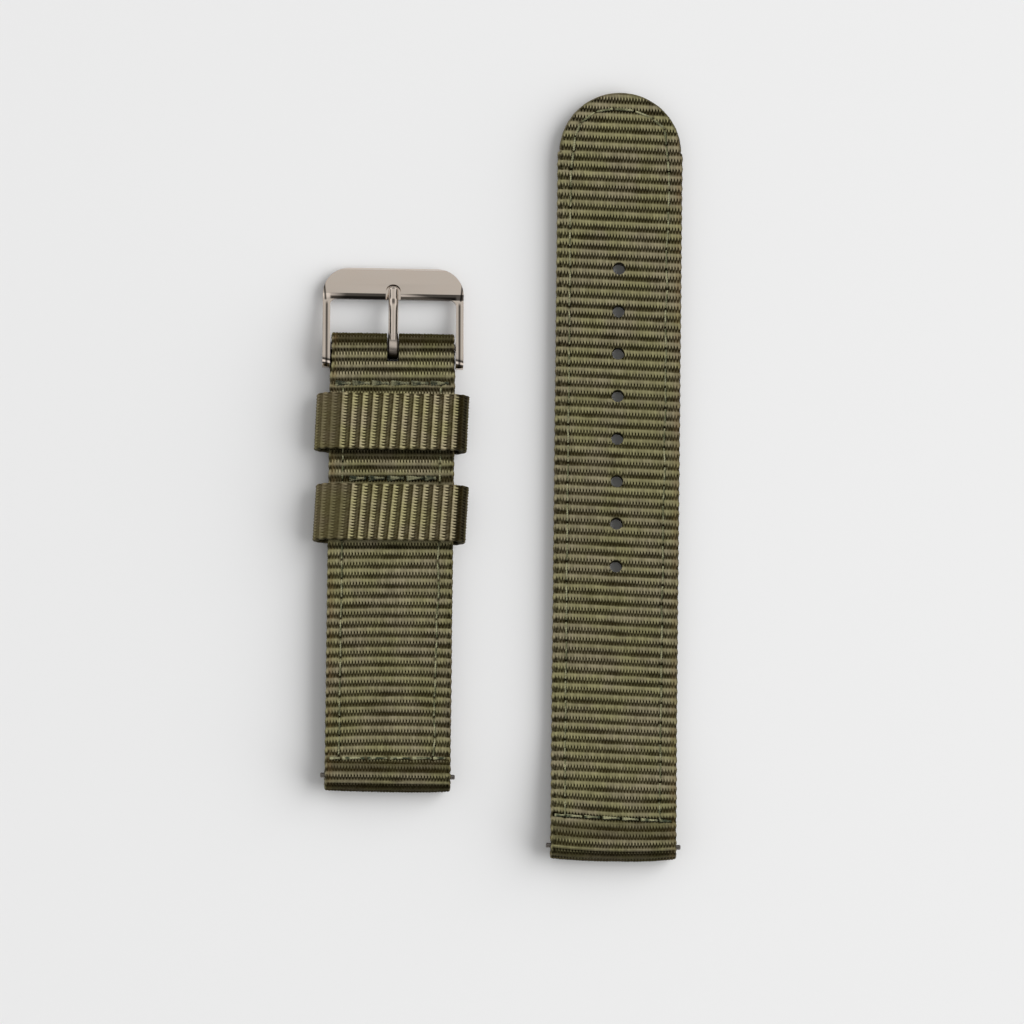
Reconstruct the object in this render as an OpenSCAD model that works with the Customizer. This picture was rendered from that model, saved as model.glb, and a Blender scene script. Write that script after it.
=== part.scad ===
// Two-piece nylon watch strap, laid out flat: a short half with its buckle and two
// keepers, and a long tail with eight holes. Both halves are one band of ribbed webbing
// folded over a spring bar and sewn to itself.
// Millimetres. +X points across the strap, +Y along it, +Z up, and the floor is Z = 0.

/* [Webbing] */
// Width of the strap, which is the lug width of the watch it fits
strap_w = 20; // [16:0.5:24]
// Thickness of one layer of webbing, over its ribs
web_t = 1.3; // [1:0.05:1.6]
// Pitch of the ribs along the strap
rib_pitch = 1.6; // [1.2:0.1:2.4]
// Depth of the groove between two ribs
rib_depth = 0.16; // [0.05:0.01:0.25]
// Slit left between the two folded layers
layer_slit = 0.06; // [0.03:0.01:0.12]

/* [Short half] */
// Distance from the lug bar to the buckle bar
short_reach = 69.3; // [62:0.1:80]
// Distance from the buckle bar back to the fixed keeper's middle
fixed_keeper_at = 27; // [25.5:0.1:33]
// Distance from the buckle bar back to the floating keeper's middle
floating_keeper_at = 12.6; // [10.8:0.1:14.3]
// Distance from the lug bar to the row that closes its loop
short_lug_row_at = 3; // [2.8:0.1:5]
// Distance from the buckle bar back to the row above the fixed keeper
keeper_row_at = 21; // [19.3:0.1:21.2]
// Distance from the buckle bar back to the row that closes its loop
buckle_row_back = 5.4; // [4.6:0.1:6.4]
// Amount by which each edge narrows to pass between the buckle's arms
fold_narrowing = 0.25; // [0.2:0.05:0.6]
// Length of that narrow stretch behind the buckle bar
fold_narrow_len = 3.4; // [3:0.1:4]
// Least clearance between the fold and each of the buckle's arms
fold_gap = 0.35; // [0.2:0.05:0.5]
// Outer radius of the loop round the buckle bar
buckle_loop_r = 2.43; // [2.3:0.01:2.6]
// Clearance on each side of the tongue in its slot
tongue_slot_gap = 0.35; // [0.2:0.05:0.6]
// Reach of the tongue slot behind the buckle bar
tongue_slot_back = 2.6; // [2.4:0.1:3]

/* [Tail half] */
// Length of the tail from its tip to its lug end
tail_len = 125; // [110:1:140]
// Distance from the tip to the first hole
first_hole_at = 28.7; // [22:0.1:36]
// Number of holes
hole_count = 8; // [4:1:9]
// Pitch of the holes
hole_pitch = 6.9; // [5:0.1:7.5]
// Diameter of a hole
hole_d = 2.0; // [1.8:0.1:2.6]
// Distance from the lug bar to the row that closes its loop
tail_lug_row_at = 4; // [3.4:0.1:5]
// Step on each edge where the heat-cut tip begins
tip_step = 0.2; // [0:0.05:0.5]
// Length over which the tail rises to its lug bar
tail_rise_len = 18; // [12:1:26]
// Shift of the tail's lug bar behind the short half's, as the two are laid
tail_shift = 10.7; // [0:0.1:20]
// Spacing of the two halves' centre lines, as they are laid
halves_spacing = 36.2; // [28:0.1:50]

/* [Stitching] */
// Diameter of the thread
thread_d = 0.5; // [0.3:0.05:0.7]
// Height of a stitch above the ribs on the outer side
thread_proud = 0.2; // [0.1:0.05:0.3]
// Height of a stitch above the ribs on the lining side, where it is pulled in flush
lining_proud = 0; // [0:0.02:0.1]
// Inset of the side rows from the edge
side_inset = 2.1; // [1.5:0.1:3]
// Inset of the stitching from the tip
tip_inset = 2.8; // [2:0.1:4]
// Ribs that one side stitch spans
ribs_per_stitch = 2; // [1:1:3]
// Number of stitches round the tip
tip_stitches = 8; // [6:1:12]
// Number of stitches in a cross row
row_stitches = 6; // [4:1:8]
// Gap between the ends of neighbouring stitches
stitch_gap = 0.3; // [0.2:0.05:0.6]

/* [Keepers] */
// Width of the keeper webbing, along the strap
keeper_w = 9.3; // [7:0.1:10]
// Thickness of the keeper webbing
keeper_t = 1.1; // [0.8:0.05:1.4]
// Slack between each edge of the strap and the keeper
keeper_side_slack = 1.2; // [0.6:0.1:2]
// Slack between the strap and the keeper, above and below
keeper_slack = 0.3; // [0.2:0.05:0.8]
// Pitch of the keeper's ribs
keeper_rib_pitch = 1.57; // [1.2:0.01:2.2]
// Gap between the fixed keeper's lower run and the strap that it is sewn to
keeper_seat_gap = 0.02; // [0.01:0.01:0.05]

/* [Spring bars] */
// Outer diameter of a bar's tube
bar_d = 1.8; // [1.5:0.1:2]
// Wall of the tube
bar_wall = 0.25; // [0.2:0.01:0.3]
// Diameter of a plunger's tip
tip_d = 0.8; // [0.7:0.05:0.9]
// Reach of a plunger's tip past the strap's edge
tip_reach = 0.75; // [0.5:0.05:1]
// Inward travel of a plunger
plunger_travel = 1.0; // [0.6:0.1:1.2]
// Diameter of a plunger's flange, where a tool catches it
flange_d = 1.5; // [1.3:0.05:1.7]
// Thickness of the flange
flange_t = 0.55; // [0.4:0.05:0.7]
// Length of a plunger's head inside the tube
head_len = 1.2; // [0.8:0.1:2]
// Clearance of a plunger in the tube, and of a tube in its loop
bar_clear = 0.05; // [0.02:0.01:0.08]
// Diameter of the spring's wire
wire_d = 0.2; // [0.15:0.01:0.24]
// Number of curls in a spring
spring_curls = 18; // [12:1:18]

/* [Buckle] */
// Overall width of the buckle
buckle_w = 22.6; // [20:0.1:28]
// Width of each arm
arm_w = 1.2; // [1:0.05:1.6]
// Distance from the buckle bar to the buckle's front edge
buckle_front = 13.2; // [12:0.1:16]
// Depth of the face plate, front to back
plate_depth = 5.2; // [4.5:0.1:6]
// Thickness of the face plate
plate_t = 1.15; // [1:0.05:1.5]
// Forward slope of the face plate, in degrees
plate_slope = 12; // [8:1:14]
// Radius of the buckle's front corners
corner_r = 4.4; // [2:0.1:5]
// Width of the bevel along the plate's inner edge
bevel_w = 0.9; // [0.4:0.1:1.2]
// Depth of that bevel
bevel_t = 0.5; // [0.2:0.05:0.6]
// Radius of the round lobe at the end of each arm
lobe_r = 1.6; // [1.3:0.05:1.8]
// Distance from the buckle bar back to the lobe's middle
lobe_back = 1.8; // [1.2:0.1:2]
// Wall left outside the blind hole in each arm
arm_skin = 0.3; // [0.2:0.05:0.4]
// Clearance between a plunger's flange and the buckle's arm
arm_gap = 0.1; // [0.05:0.05:0.2]
// Diameter of the tongue
tongue_d = 1.6; // [1.4:0.05:1.8]
// Width of the tongue's eye
tongue_eye_w = 1.7; // [1.4:0.05:2]
// Wall of the tongue's eye
tongue_eye_wall = 0.87; // [0.6:0.01:1]
// Reach of the tongue's tip from the buckle bar
tongue_reach = 10.1; // [9.9:0.1:11]
// Steepest slope of the tongue's curve, in degrees
tongue_dip = 32; // [24:1:40]
// Length of the steep stretch between the tongue's two bends
tongue_steep_len = 0.5; // [0.3:0.1:1]
// Length of the tongue that lies along the plate
tongue_rest_len = 1.2; // [0.6:0.1:1.6]
// Depth of the rest that the tongue's tip lies in
rest_depth = 0.65; // [0.4:0.05:0.8]
// Clearance round the tongue's tip in that rest
rest_gap = 0.4; // [0.2:0.05:0.6]
// Height at which the tongue's tip stops above the floor of the rest
tongue_stop_gap = 0.03; // [0.01:0.01:0.1]

/* [Hidden] */

$fn = 48;
eps = 0.01;
big = 400;

// Thickness of the folded strap, and its half, over the ribs
strap_t = 2 * web_t;
half_t = strap_t / 2;
// Outer radius of a lug loop, which stands as high as the keepers hang below the strap
lug_loop_r = half_t + keeper_slack + keeper_t;
// Radius of the bore that a bar turns in
loop_bore_r = bar_d / 2 + bar_clear;
// Width between the buckle's arms
buckle_in_w = buckle_w - 2 * arm_w;
// Half the distance over a bar's flanges: a lug bar's fill the strap's width, and the
// buckle bar's fill the space between the arms
lug_bar_half = strap_w / 2;
buckle_bar_half = buckle_in_w / 2 - arm_gap;
// Points along one rib, as shares of its pitch and of the groove's depth
rib_shape = [[0, 1], [0.18, 0.25], [0.5, 0], [0.82, 0.25]];

// Sizes of a keeper, measured to its outside
keeper_in_w = strap_w + 2 * keeper_side_slack;
keeper_in_t = strap_t + 2 * keeper_slack;
keeper_out_w = keeper_in_w + 2 * keeper_t;
keeper_end_r = keeper_in_t / 2;

// Heights of the two halves' middle planes
short_z = lug_loop_r;
tail_z = half_t + lining_proud;
tail_lug_z = lug_loop_r;

// Layout of the halves, centred on the box that holds them both
short_half_w = max(keeper_out_w / 2, lug_bar_half + tip_reach, buckle_w / 2);
tail_half_w = lug_bar_half + tip_reach;
short_x = (short_half_w - tail_half_w - halves_spacing) / 2;
tail_x = short_x + halves_spacing;
low_y = min(-tail_shift, 0) - lug_loop_r;
high_y = max(tail_len - lug_loop_r - tail_shift, short_reach + buckle_front);
short_y = -(low_y + high_y) / 2;
tail_y = short_y - tail_shift;
buckle_y = short_y + short_reach;
tail_tip = tail_len - lug_loop_r;

// A point on a circle's rim in the side view, at an angle from +Y
function rim(centre, r, a) = centre + r * [cos(a), sin(a)];

// Angle at which a line from a point outside a circle touches its rim, above or below
function touch(centre, r, p, side = 1) =
    let (d = p - centre)
    atan2(d[1], d[0]) + side * acos(r / norm(d));

// Side outlines are lists of runs: a straight run is [from, to], and a curved one is
// [centre, radius, first angle, last angle]
function run_len(run) =
    len(run) == 2 ? norm(run[1] - run[0]) : run[1] * abs(run[3] - run[2]) * PI / 180;
function run_point(run, s) =
    len(run) == 2
        ? run[0] + (run[1] - run[0]) * s / run_len(run)
        : rim(run[0], run[1], run[2] + (run[3] - run[2]) * s / run_len(run));
function run_out(run, s) =
    len(run) == 2
        ? let (d = (run[1] - run[0]) / run_len(run)) [d[1], -d[0]]
        : rim([0, 0], 1, run[2] + (run[3] - run[2]) * s / run_len(run));

// Points of a run with its ribs: whole ribs, as near the pitch as the run allows
function ribbed(run, pitch, depth) =
    let (length = run_len(run), ribs = max(1, round(length / pitch)), step = length / ribs)
    [for (i = [0 : ribs - 1], r = rib_shape)
        let (s = (i + r[0]) * step)
        run_point(run, s) - run_out(run, s) * depth * r[1]];
function ribbed_runs(runs, pitch, depth) =
    [for (run = runs) each ribbed(run, pitch, depth)];

// Outline of a loop: back along one face, round the bar and out along the other.
// side is 1 where the strap lies on the +Y side of its bar, and -1 on the other
function loop_runs(centre_y, r, neck, side) =
    let (
        c = [centre_y, 0],
        top = [centre_y + side * neck, half_t],
        bottom = [centre_y + side * neck, -half_t],
        a = touch([0, 0], r, [neck, half_t])
    )
    side > 0
        ? [[top, rim(c, r, a)], [c, r, a, 360 - a], [rim(c, r, -a), bottom]]
        : [[bottom, rim(c, r, a - 180)], [c, r, a - 180, 180 - a], [rim(c, r, 180 - a), top]];

// Necks of the three loops, where the two layers meet just in front of their row. A neck
// stands no nearer to its bar than the loop's own radius
function neck_at(row, r) = max(row - thread_d / 2, r);
short_neck = neck_at(short_lug_row_at, lug_loop_r);
tail_neck = neck_at(tail_lug_row_at, lug_loop_r);
buckle_neck = neck_at(buckle_row_back - thread_d / 2, buckle_loop_r);
short_lug_row_y = short_neck + thread_d / 2;
tail_lug_row_y = tail_neck + thread_d / 2;

// Wedge of air behind a bar, between the layers, as far as the neck
module loop_wedge(centre_y, neck, side) {
    polygon([
        [centre_y, loop_bore_r],
        [centre_y, -loop_bore_r],
        [centre_y + side * neck, -layer_slit / 2],
        [centre_y + side * neck, layer_slit / 2]
    ]);
}

// Turns a side view, drawn as [along, up], into a solid that is w wide
module across(w) {
    rotate([90, 0, 90])
        linear_extrude(height = w, center = true)
            children();
}

// Faces of a tube whose points come ring by ring, with flat caps at both ends
function tube_faces(rings, sides) =
    concat(
        [for (i = [0 : rings - 2], j = [0 : sides - 1])
            let (a = i * sides + j, b = i * sides + (j + 1) % sides)
            each [[a, b, a + sides], [b, b + sides, a + sides]]],
        [for (j = [1 : sides - 2]) [0, j + 1, j]],
        [for (j = [1 : sides - 2]) [0, j, j + 1] + (rings - 1) * sides * [1, 1, 1]]
    );

// A true cylinder along X
module x_cylinder(r, length) {
    rotate([0, 90, 0])
        cylinder(r = r, h = length, center = true);
}

// One stitch lies along X, centred on a face at Z = 0: its crown stands proud of the
// face, and both its ends sink into the webbing
module stitch(length, proud) {
    sink = thread_d * 0.7;
    chord = length - stitch_gap;
    r = (chord * chord / 4 + sink * sink) / (2 * sink);
    half_angle = asin(chord / 2 / r);
    translate([0, 0, proud - thread_d / 2 - r])
        rotate([90, 0, 0])
            rotate_extrude(angle = 2 * half_angle, start = 90 - half_angle)
                translate([r, 0])
                    circle(d = thread_d, $fn = 16);
}

// The needle thread shows on the outer face and the bobbin thread on the lining
proud_heights = [thread_proud, lining_proud];

// The same stitch on both faces of the tail, from a to b in plan
module stitch_pair(a, b) {
    middle = (a + b) / 2;
    d = b - a;
    length = norm(d);
    z_a = tail_lift(a[1]);
    z_b = tail_lift(b[1]);
    pitch_angle = atan2(z_b - z_a, length);
    translate([middle[0], middle[1], (z_a + z_b) / 2])
        rotate([0, 0, atan2(d[1], d[0])])
            rotate([0, -pitch_angle, 0])
                for (side = [0, 1])
                    mirror([0, 0, side])
                        translate([0, 0, half_t])
                            stitch(length, proud_heights[side]);
}

// Height of the tail's middle plane above its resting height, along Y from the lug bar
function tail_lift(y) =
    let (s = max(0, min(1, (y - tail_neck) / tail_rise_len)))
    (tail_lug_z - tail_z) * (1 + cos(180 * s)) / 2;

// A row of stitches across the strap, on a flat stretch
module cross_row(count, length, faces = [0, 1], up = half_t) {
    step = length / count;
    for (i = [0 : count - 1], side = faces)
        translate([(i + 0.5) * step - length / 2, 0, 0])
            mirror([0, 0, side])
                translate([0, 0, up])
                    stitch(step, proud_heights[side]);
}

// A row that closes a loop ends outside the side rows, and one between them stops short
row_len = strap_w - 2 * (side_inset - thread_d);
inner_row_len = strap_w - 2 * (side_inset + thread_d);
side_stitch = ribs_per_stitch * rib_pitch;

// Short half: outline, with Y measured from the lug bar
short_top = [[short_reach - buckle_neck, half_t], [short_neck, half_t]];
short_bottom = [[short_neck, -half_t], [short_reach - buckle_neck, -half_t]];
short_runs = concat(
    [short_top],
    loop_runs(0, lug_loop_r, short_neck, 1),
    [short_bottom],
    loop_runs(short_reach, buckle_loop_r, buckle_neck, -1)
);
// Middles of the keepers and their row, measured from the lug bar
fixed_keeper_y = short_reach - fixed_keeper_at;
floating_keeper_y = short_reach - floating_keeper_at;
keeper_row_y = short_reach - keeper_row_at;
// The band's two ends meet on the lining side, under the fixed keeper's row
seam_at = (fixed_keeper_y + keeper_row_y + keeper_w / 2) / 2;
seam_gap = 0.1;
// Half width of the fold, which passes between the buckle's arms
fold_half_w = min(strap_w / 2 - fold_narrowing, buckle_in_w / 2 - fold_gap);

module short_place() {
    translate([short_x, short_y, short_z])
        children();
}

module short_webbing() {
    color("darkolivegreen")
        short_place()
            difference() {
                across(strap_w)
                    difference() {
                        polygon(ribbed_runs(short_runs, rib_pitch, rib_depth));
                        loop_wedge(0, short_neck, 1);
                        loop_wedge(short_reach, buckle_neck, -1);
                        translate([0, -layer_slit / 2])
                            square([short_reach, layer_slit]);
                        translate([seam_at, -half_t - eps])
                            square([seam_gap, half_t + eps]);
                    }
                x_cylinder(loop_bore_r, strap_w + 1);
                translate([0, short_reach, 0])
                    x_cylinder(loop_bore_r, strap_w + 1);
                for (side = [-1, 1])
                    translate([side * (fold_half_w + strap_w / 2), short_reach - fold_narrow_len + big / 2, 0])
                        cube([strap_w, big, big], center = true);
                translate([0, short_reach - tongue_slot_back + big / 2, 0])
                    cube([tongue_eye_w + 2 * tongue_slot_gap, big, big], center = true);
            }
}

module short_side_stitches(side) {
    first = short_lug_row_y + side_stitch / 2;
    last = short_reach - buckle_row_back - side_stitch / 2;
    count = floor((last - first) / side_stitch);
    step = (last - first) / count;
    color("darkseagreen")
        short_place()
            for (i = [0 : count - 1], face = [0, 1])
                translate([side * (strap_w / 2 - side_inset), first + (i + 0.5) * step, 0])
                    rotate([0, 0, 90])
                        mirror([0, 0, face])
                            translate([0, 0, half_t])
                                stitch(step, proud_heights[face]);
}

module short_side_stitches_left() {
    short_side_stitches(-1);
}

module short_side_stitches_right() {
    short_side_stitches(1);
}

module short_cross_row(at, length = row_len) {
    color("darkseagreen")
        short_place()
            translate([0, at, 0])
                cross_row(row_stitches, length);
}

module short_lug_row_stitches() {
    short_cross_row(short_lug_row_y);
}

module keeper_row_stitches() {
    short_cross_row(keeper_row_y, inner_row_len);
}

module buckle_row_stitches() {
    short_cross_row(short_reach - buckle_row_back);
}

// Keeper: a flat ring of webbing, ribbed round its outside, with its width along Y
keeper_end = [keeper_in_w / 2 - keeper_end_r, 0];
keeper_out_r = keeper_end_r + keeper_t;
keeper_runs = [
    [[keeper_end[0], keeper_out_r], [-keeper_end[0], keeper_out_r]],
    [-keeper_end, keeper_out_r, 90, 270],
    [[-keeper_end[0], -keeper_out_r], [keeper_end[0], -keeper_out_r]],
    [keeper_end, keeper_out_r, -90, 90]
];

module keeper_ring() {
    rotate([90, 0, 0])
        linear_extrude(height = keeper_w, center = true)
            difference() {
                polygon([for (run = keeper_runs, p = ribbed(run, keeper_rib_pitch, rib_depth)) p]);
                union() {
                    square([2 * keeper_end[0], 2 * keeper_end_r], center = true);
                    for (side = [-1, 1])
                        translate([side * keeper_end[0], 0])
                            circle(r = keeper_end_r);
                }
            }
}

// The fixed keeper's lower run lies against the lining, so the whole ring sits higher
fixed_keeper_lift = keeper_slack - keeper_seat_gap;

module fixed_keeper() {
    color("olivedrab")
        short_place()
            translate([0, fixed_keeper_y, fixed_keeper_lift])
                keeper_ring();
}

module floating_keeper() {
    color("olivedrab")
        short_place()
            translate([0, floating_keeper_y, 0])
                keeper_ring();
}

// Stitches that close the floating keeper's lap, sunk in the underside of its lower run
module floating_keeper_seam() {
    seam_stitches = 3;
    seam_len = keeper_w - 2 * thread_d;
    color("darkseagreen")
        short_place()
            translate([0, floating_keeper_y, -keeper_end_r - keeper_t / 2])
                rotate([0, 0, 90])
                    cross_row(seam_stitches, seam_len, [1], keeper_t / 2 - lining_proud);
}

// A hidden row ties the fixed keeper's lower run to the layer above it
module keeper_tack_stitches() {
    tack_stitches = 4;
    tack_len = strap_w / 2;
    tack_h = web_t + keeper_t;
    color("darkseagreen")
        short_place()
            translate([0, fixed_keeper_y, -half_t - keeper_seat_gap - keeper_t + tack_h / 2])
                cross_row(tack_stitches, tack_len, [1], tack_h / 2 - lining_proud);
}

// Tail: outline with Y measured from the lug bar, then lifted along its rise
tail_runs = concat(
    [[[tail_tip, half_t], [tail_neck, half_t]]],
    loop_runs(0, lug_loop_r, tail_neck, 1),
    [[[tail_neck, -half_t], [tail_tip, -half_t]]]
);
tail_outline = concat(
    ribbed_runs(tail_runs, rib_pitch, rib_depth),
    [[tail_tip, -half_t]]
);
function lifted(points) =
    [for (p = points) [p[0], p[1] + tail_lift(p[0])]];
slit_steps = 24;
slit_line = [for (i = [0 : slit_steps])
    tail_neck + i / slit_steps * tail_rise_len];
slit_ys = concat(slit_line, [tail_tip + 1]);
tail_slit = concat(
    [for (y = slit_ys) [y, layer_slit / 2]],
    [for (i = [len(slit_ys) - 1 : -1 : 0]) [slit_ys[i], -layer_slit / 2]]
);
tip_r = strap_w / 2 - tip_step;

module tail_place() {
    translate([tail_x, tail_y, tail_z])
        children();
}

// Plan of the tail: straight edges, a small step, then a round tip
module tail_plan() {
    round_y = tail_tip - tip_r;
    translate([-strap_w / 2, -lug_loop_r - 1])
        square([strap_w, round_y + lug_loop_r + 1]);
    translate([0, round_y])
        circle(r = tip_r);
}

module tail_webbing() {
    color("darkolivegreen")
        tail_place()
            difference() {
                intersection() {
                    across(strap_w)
                        difference() {
                            polygon(lifted(tail_outline));
                            polygon(lifted(tail_slit));
                            translate([0, tail_lift(0)])
                                loop_wedge(0, tail_neck, 1);
                        }
                    translate([0, 0, -big / 2])
                        linear_extrude(height = big)
                            tail_plan();
                }
                translate([0, 0, tail_lift(0)])
                    x_cylinder(loop_bore_r, strap_w + 1);
                for (i = [0 : hole_count - 1])
                    translate([0, tail_tip - first_hole_at - i * hole_pitch, 0])
                        cylinder(d = hole_d, h = big, center = true);
            }
}

// Corners of the stitching: up one side, round the tip on a squared curve, and back down
tip_round_y = tail_tip - strap_w / 2;
tip_curve = 2.4;
function tip_corner(a) =
    [
        (strap_w / 2 - side_inset) * sign(cos(a)) * pow(abs(cos(a)), 2 / tip_curve),
        tip_round_y + (strap_w / 2 - tip_inset) * pow(abs(sin(a)), 2 / tip_curve)
    ];
tail_side_first = tail_lug_row_y + side_stitch / 2;
tail_side_count = round((tip_round_y - tail_side_first) / side_stitch);
tail_side_step = (tip_round_y - tail_side_first) / tail_side_count;

module tail_side_stitches(side) {
    x = side * (strap_w / 2 - side_inset);
    color("darkseagreen")
        tail_place()
            for (i = [0 : tail_side_count - 1])
                let (y = tail_side_first + i * tail_side_step)
                    stitch_pair([x, y], [x, y + tail_side_step]);
}

module tail_side_stitches_left() {
    tail_side_stitches(-1);
}

module tail_side_stitches_right() {
    tail_side_stitches(1);
}

module tail_tip_stitches() {
    color("darkseagreen")
        tail_place()
            for (i = [0 : tip_stitches - 1])
                stitch_pair(
                    tip_corner(180 * i / tip_stitches),
                    tip_corner(180 * (i + 1) / tip_stitches)
                );
}

module tail_lug_row_stitches() {
    color("darkseagreen")
        tail_place()
            translate([0, tail_lug_row_y, tail_lift(tail_lug_row_y)])
                cross_row(row_stitches, row_len);
}

// Spring bars, drawn along X about their own middle. half is the distance from there to
// the outer face of a flange, and the pieces inside follow from it
lip_t = 0.3;
tube_in_r = bar_d / 2 - bar_wall;
neck_r = tip_d / 2;
function tube_half(half) = half - flange_t - plunger_travel;
function head_out(half) = tube_half(half) - lip_t - bar_clear / 2;
function spring_half(half) = head_out(half) - head_len - bar_clear;

module bar_tube(half) {
    end = tube_half(half);
    rotate([0, 90, 0])
        rotate_extrude()
            difference() {
                translate([0, -end])
                    square([bar_d / 2, 2 * end]);
                translate([-1, -end + lip_t])
                    square([1 + tube_in_r, 2 * (end - lip_t)]);
                translate([-1, -end - 1])
                    square([1 + neck_r + bar_clear, 2 * end + 2]);
            }
}

// A plunger: a head inside the tube, a neck through its lip, a flange and a tip
module plunger(half) {
    tip_chamfer = 0.12;
    head = head_out(half);
    reach = half + tip_reach;
    rotate([0, 90, 0])
        rotate_extrude()
            polygon([
                [0, head - head_len],
                [tube_in_r - bar_clear, head - head_len],
                [tube_in_r - bar_clear, head],
                [neck_r, head],
                [neck_r, half - flange_t],
                [flange_d / 2, half - flange_t],
                [flange_d / 2, half],
                [neck_r, half],
                [neck_r, reach - tip_chamfer],
                [neck_r - tip_chamfer, reach],
                [0, reach]
            ]);
}

// The spring is one tube wound along X: rings of sides points each, joined in order
ring_sides = 6;
rings_per_curl = 8;
spring_r = tube_in_r - bar_clear - wire_d / 2;
spring_rings = spring_curls * rings_per_curl;
function spring_run(half) = 2 * spring_half(half) - wire_d;
function spring_axis(run, t) =
    let (a = 360 * spring_curls * t)
    [run * (t - 0.5), spring_r * cos(a), spring_r * sin(a)];
function spring_point(run, i, j) =
    let (
        t = i / spring_rings,
        a = 360 * spring_curls * t,
        out = [0, cos(a), sin(a)],
        lead = run / (2 * PI * spring_r * spring_curls),
        side = [1, lead * sin(a), -lead * cos(a)] / norm([1, lead]),
        b = 360 * j / ring_sides
    )
    spring_axis(run, t) + wire_d / 2 * (cos(b) * out + sin(b) * side);
function spring_gap(run) =
    min([for (i = [0 : rings_per_curl - 1], k = [-2 : 2])
        norm(spring_axis(run, (i + rings_per_curl + k) / spring_rings)
            - spring_axis(run, i / spring_rings))]) - wire_d;
echo(
    lug_spring_least_gap_to_itself = spring_gap(spring_run(lug_bar_half)),
    buckle_spring_least_gap_to_itself = spring_gap(spring_run(buckle_bar_half)),
    spring_curls_in_all = 3 * spring_curls
);

module bar_spring(half) {
    run = spring_run(half);
    points = [for (i = [0 : spring_rings], j = [0 : ring_sides - 1]) spring_point(run, i, j)];
    polyhedron(points = points, faces = tube_faces(spring_rings + 1, ring_sides));
}

module buckle_bar_place() {
    translate([short_x, buckle_y, short_z])
        children();
}

module short_bar_place() {
    translate([short_x, short_y, short_z])
        children();
}

module tail_bar_place() {
    translate([tail_x, tail_y, tail_lug_z])
        children();
}

module buckle_bar_tube() {
    color("silver")
        buckle_bar_place()
            bar_tube(buckle_bar_half);
}

module buckle_bar_plunger_left() {
    color("gainsboro")
        buckle_bar_place()
            mirror([1, 0, 0])
                plunger(buckle_bar_half);
}

module buckle_bar_plunger_right() {
    color("gainsboro")
        buckle_bar_place()
            plunger(buckle_bar_half);
}

module buckle_bar_spring() {
    color("dimgray")
        buckle_bar_place()
            bar_spring(buckle_bar_half);
}

module short_bar_tube() {
    color("silver")
        short_bar_place()
            bar_tube(lug_bar_half);
}

module short_bar_plunger_left() {
    color("gainsboro")
        short_bar_place()
            mirror([1, 0, 0])
                plunger(lug_bar_half);
}

module short_bar_plunger_right() {
    color("gainsboro")
        short_bar_place()
            plunger(lug_bar_half);
}

module short_bar_spring() {
    color("dimgray")
        short_bar_place()
            bar_spring(lug_bar_half);
}

module tail_bar_tube() {
    color("silver")
        tail_bar_place()
            bar_tube(lug_bar_half);
}

module tail_bar_plunger_left() {
    color("gainsboro")
        tail_bar_place()
            mirror([1, 0, 0])
                plunger(lug_bar_half);
}

module tail_bar_plunger_right() {
    color("gainsboro")
        tail_bar_place()
            plunger(lug_bar_half);
}

module tail_bar_spring() {
    color("dimgray")
        tail_bar_place()
            bar_spring(lug_bar_half);
}

// Buckle, drawn about its bar with Y forward. The plate's lower front edge is on the floor
plate_back = buckle_front - plate_depth;
plate_low = [buckle_front, -short_z];
plate_rise = plate_depth * tan(plate_slope);
plate_drop = plate_t / cos(plate_slope);
plate_back_low = [plate_back, -short_z + plate_rise];
plate_back_top = plate_back_low + [0, plate_drop];
lobe_at = [-lobe_back, 0];
arm_top_a = touch(lobe_at, lobe_r, plate_back_top - [0, bevel_t]);
arm_low_a = 360 + touch(lobe_at, lobe_r, plate_back_low, -1);

// Height of the plate's upper face at a distance from the bar
function plate_top(y) = plate_low[1] + (buckle_front - y) * tan(plate_slope) + plate_drop;

module buckle_side() {
    front_chamfer = 0.3;
    lobe_steps = 14;
    polygon([
        for (i = [0 : lobe_steps])
            rim(lobe_at, lobe_r, arm_top_a + (arm_low_a - arm_top_a) * i / lobe_steps),
        plate_back_low,
        plate_low,
        [buckle_front, plate_top(buckle_front) - front_chamfer],
        [buckle_front - front_chamfer, plate_top(buckle_front - front_chamfer)],
        [plate_back + bevel_w, plate_top(plate_back + bevel_w)],
        plate_back_top - [0, bevel_t]
    ]);
}

// Plan of the buckle: a U of two arms and a face plate, with round front corners
module buckle_plan() {
    window_r = 1;
    rear = lobe_back + lobe_r + 1;
    difference() {
        union() {
            translate([-buckle_w / 2, -rear])
                square([buckle_w, rear + buckle_front - corner_r]);
            translate([corner_r - buckle_w / 2, -rear])
                square([buckle_w - 2 * corner_r, rear + buckle_front]);
            for (side = [-1, 1])
                translate([side * (buckle_w / 2 - corner_r), buckle_front - corner_r])
                    circle(r = corner_r);
        }
        translate([-buckle_in_w / 2, -rear - 1])
            square([buckle_in_w, rear + 1 + plate_back - window_r]);
        translate([window_r - buckle_in_w / 2, 0])
            square([buckle_in_w - 2 * window_r, plate_back]);
        for (side = [-1, 1])
            translate([side * (buckle_in_w / 2 - window_r), plate_back - window_r])
                circle(r = window_r);
    }
}

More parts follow.
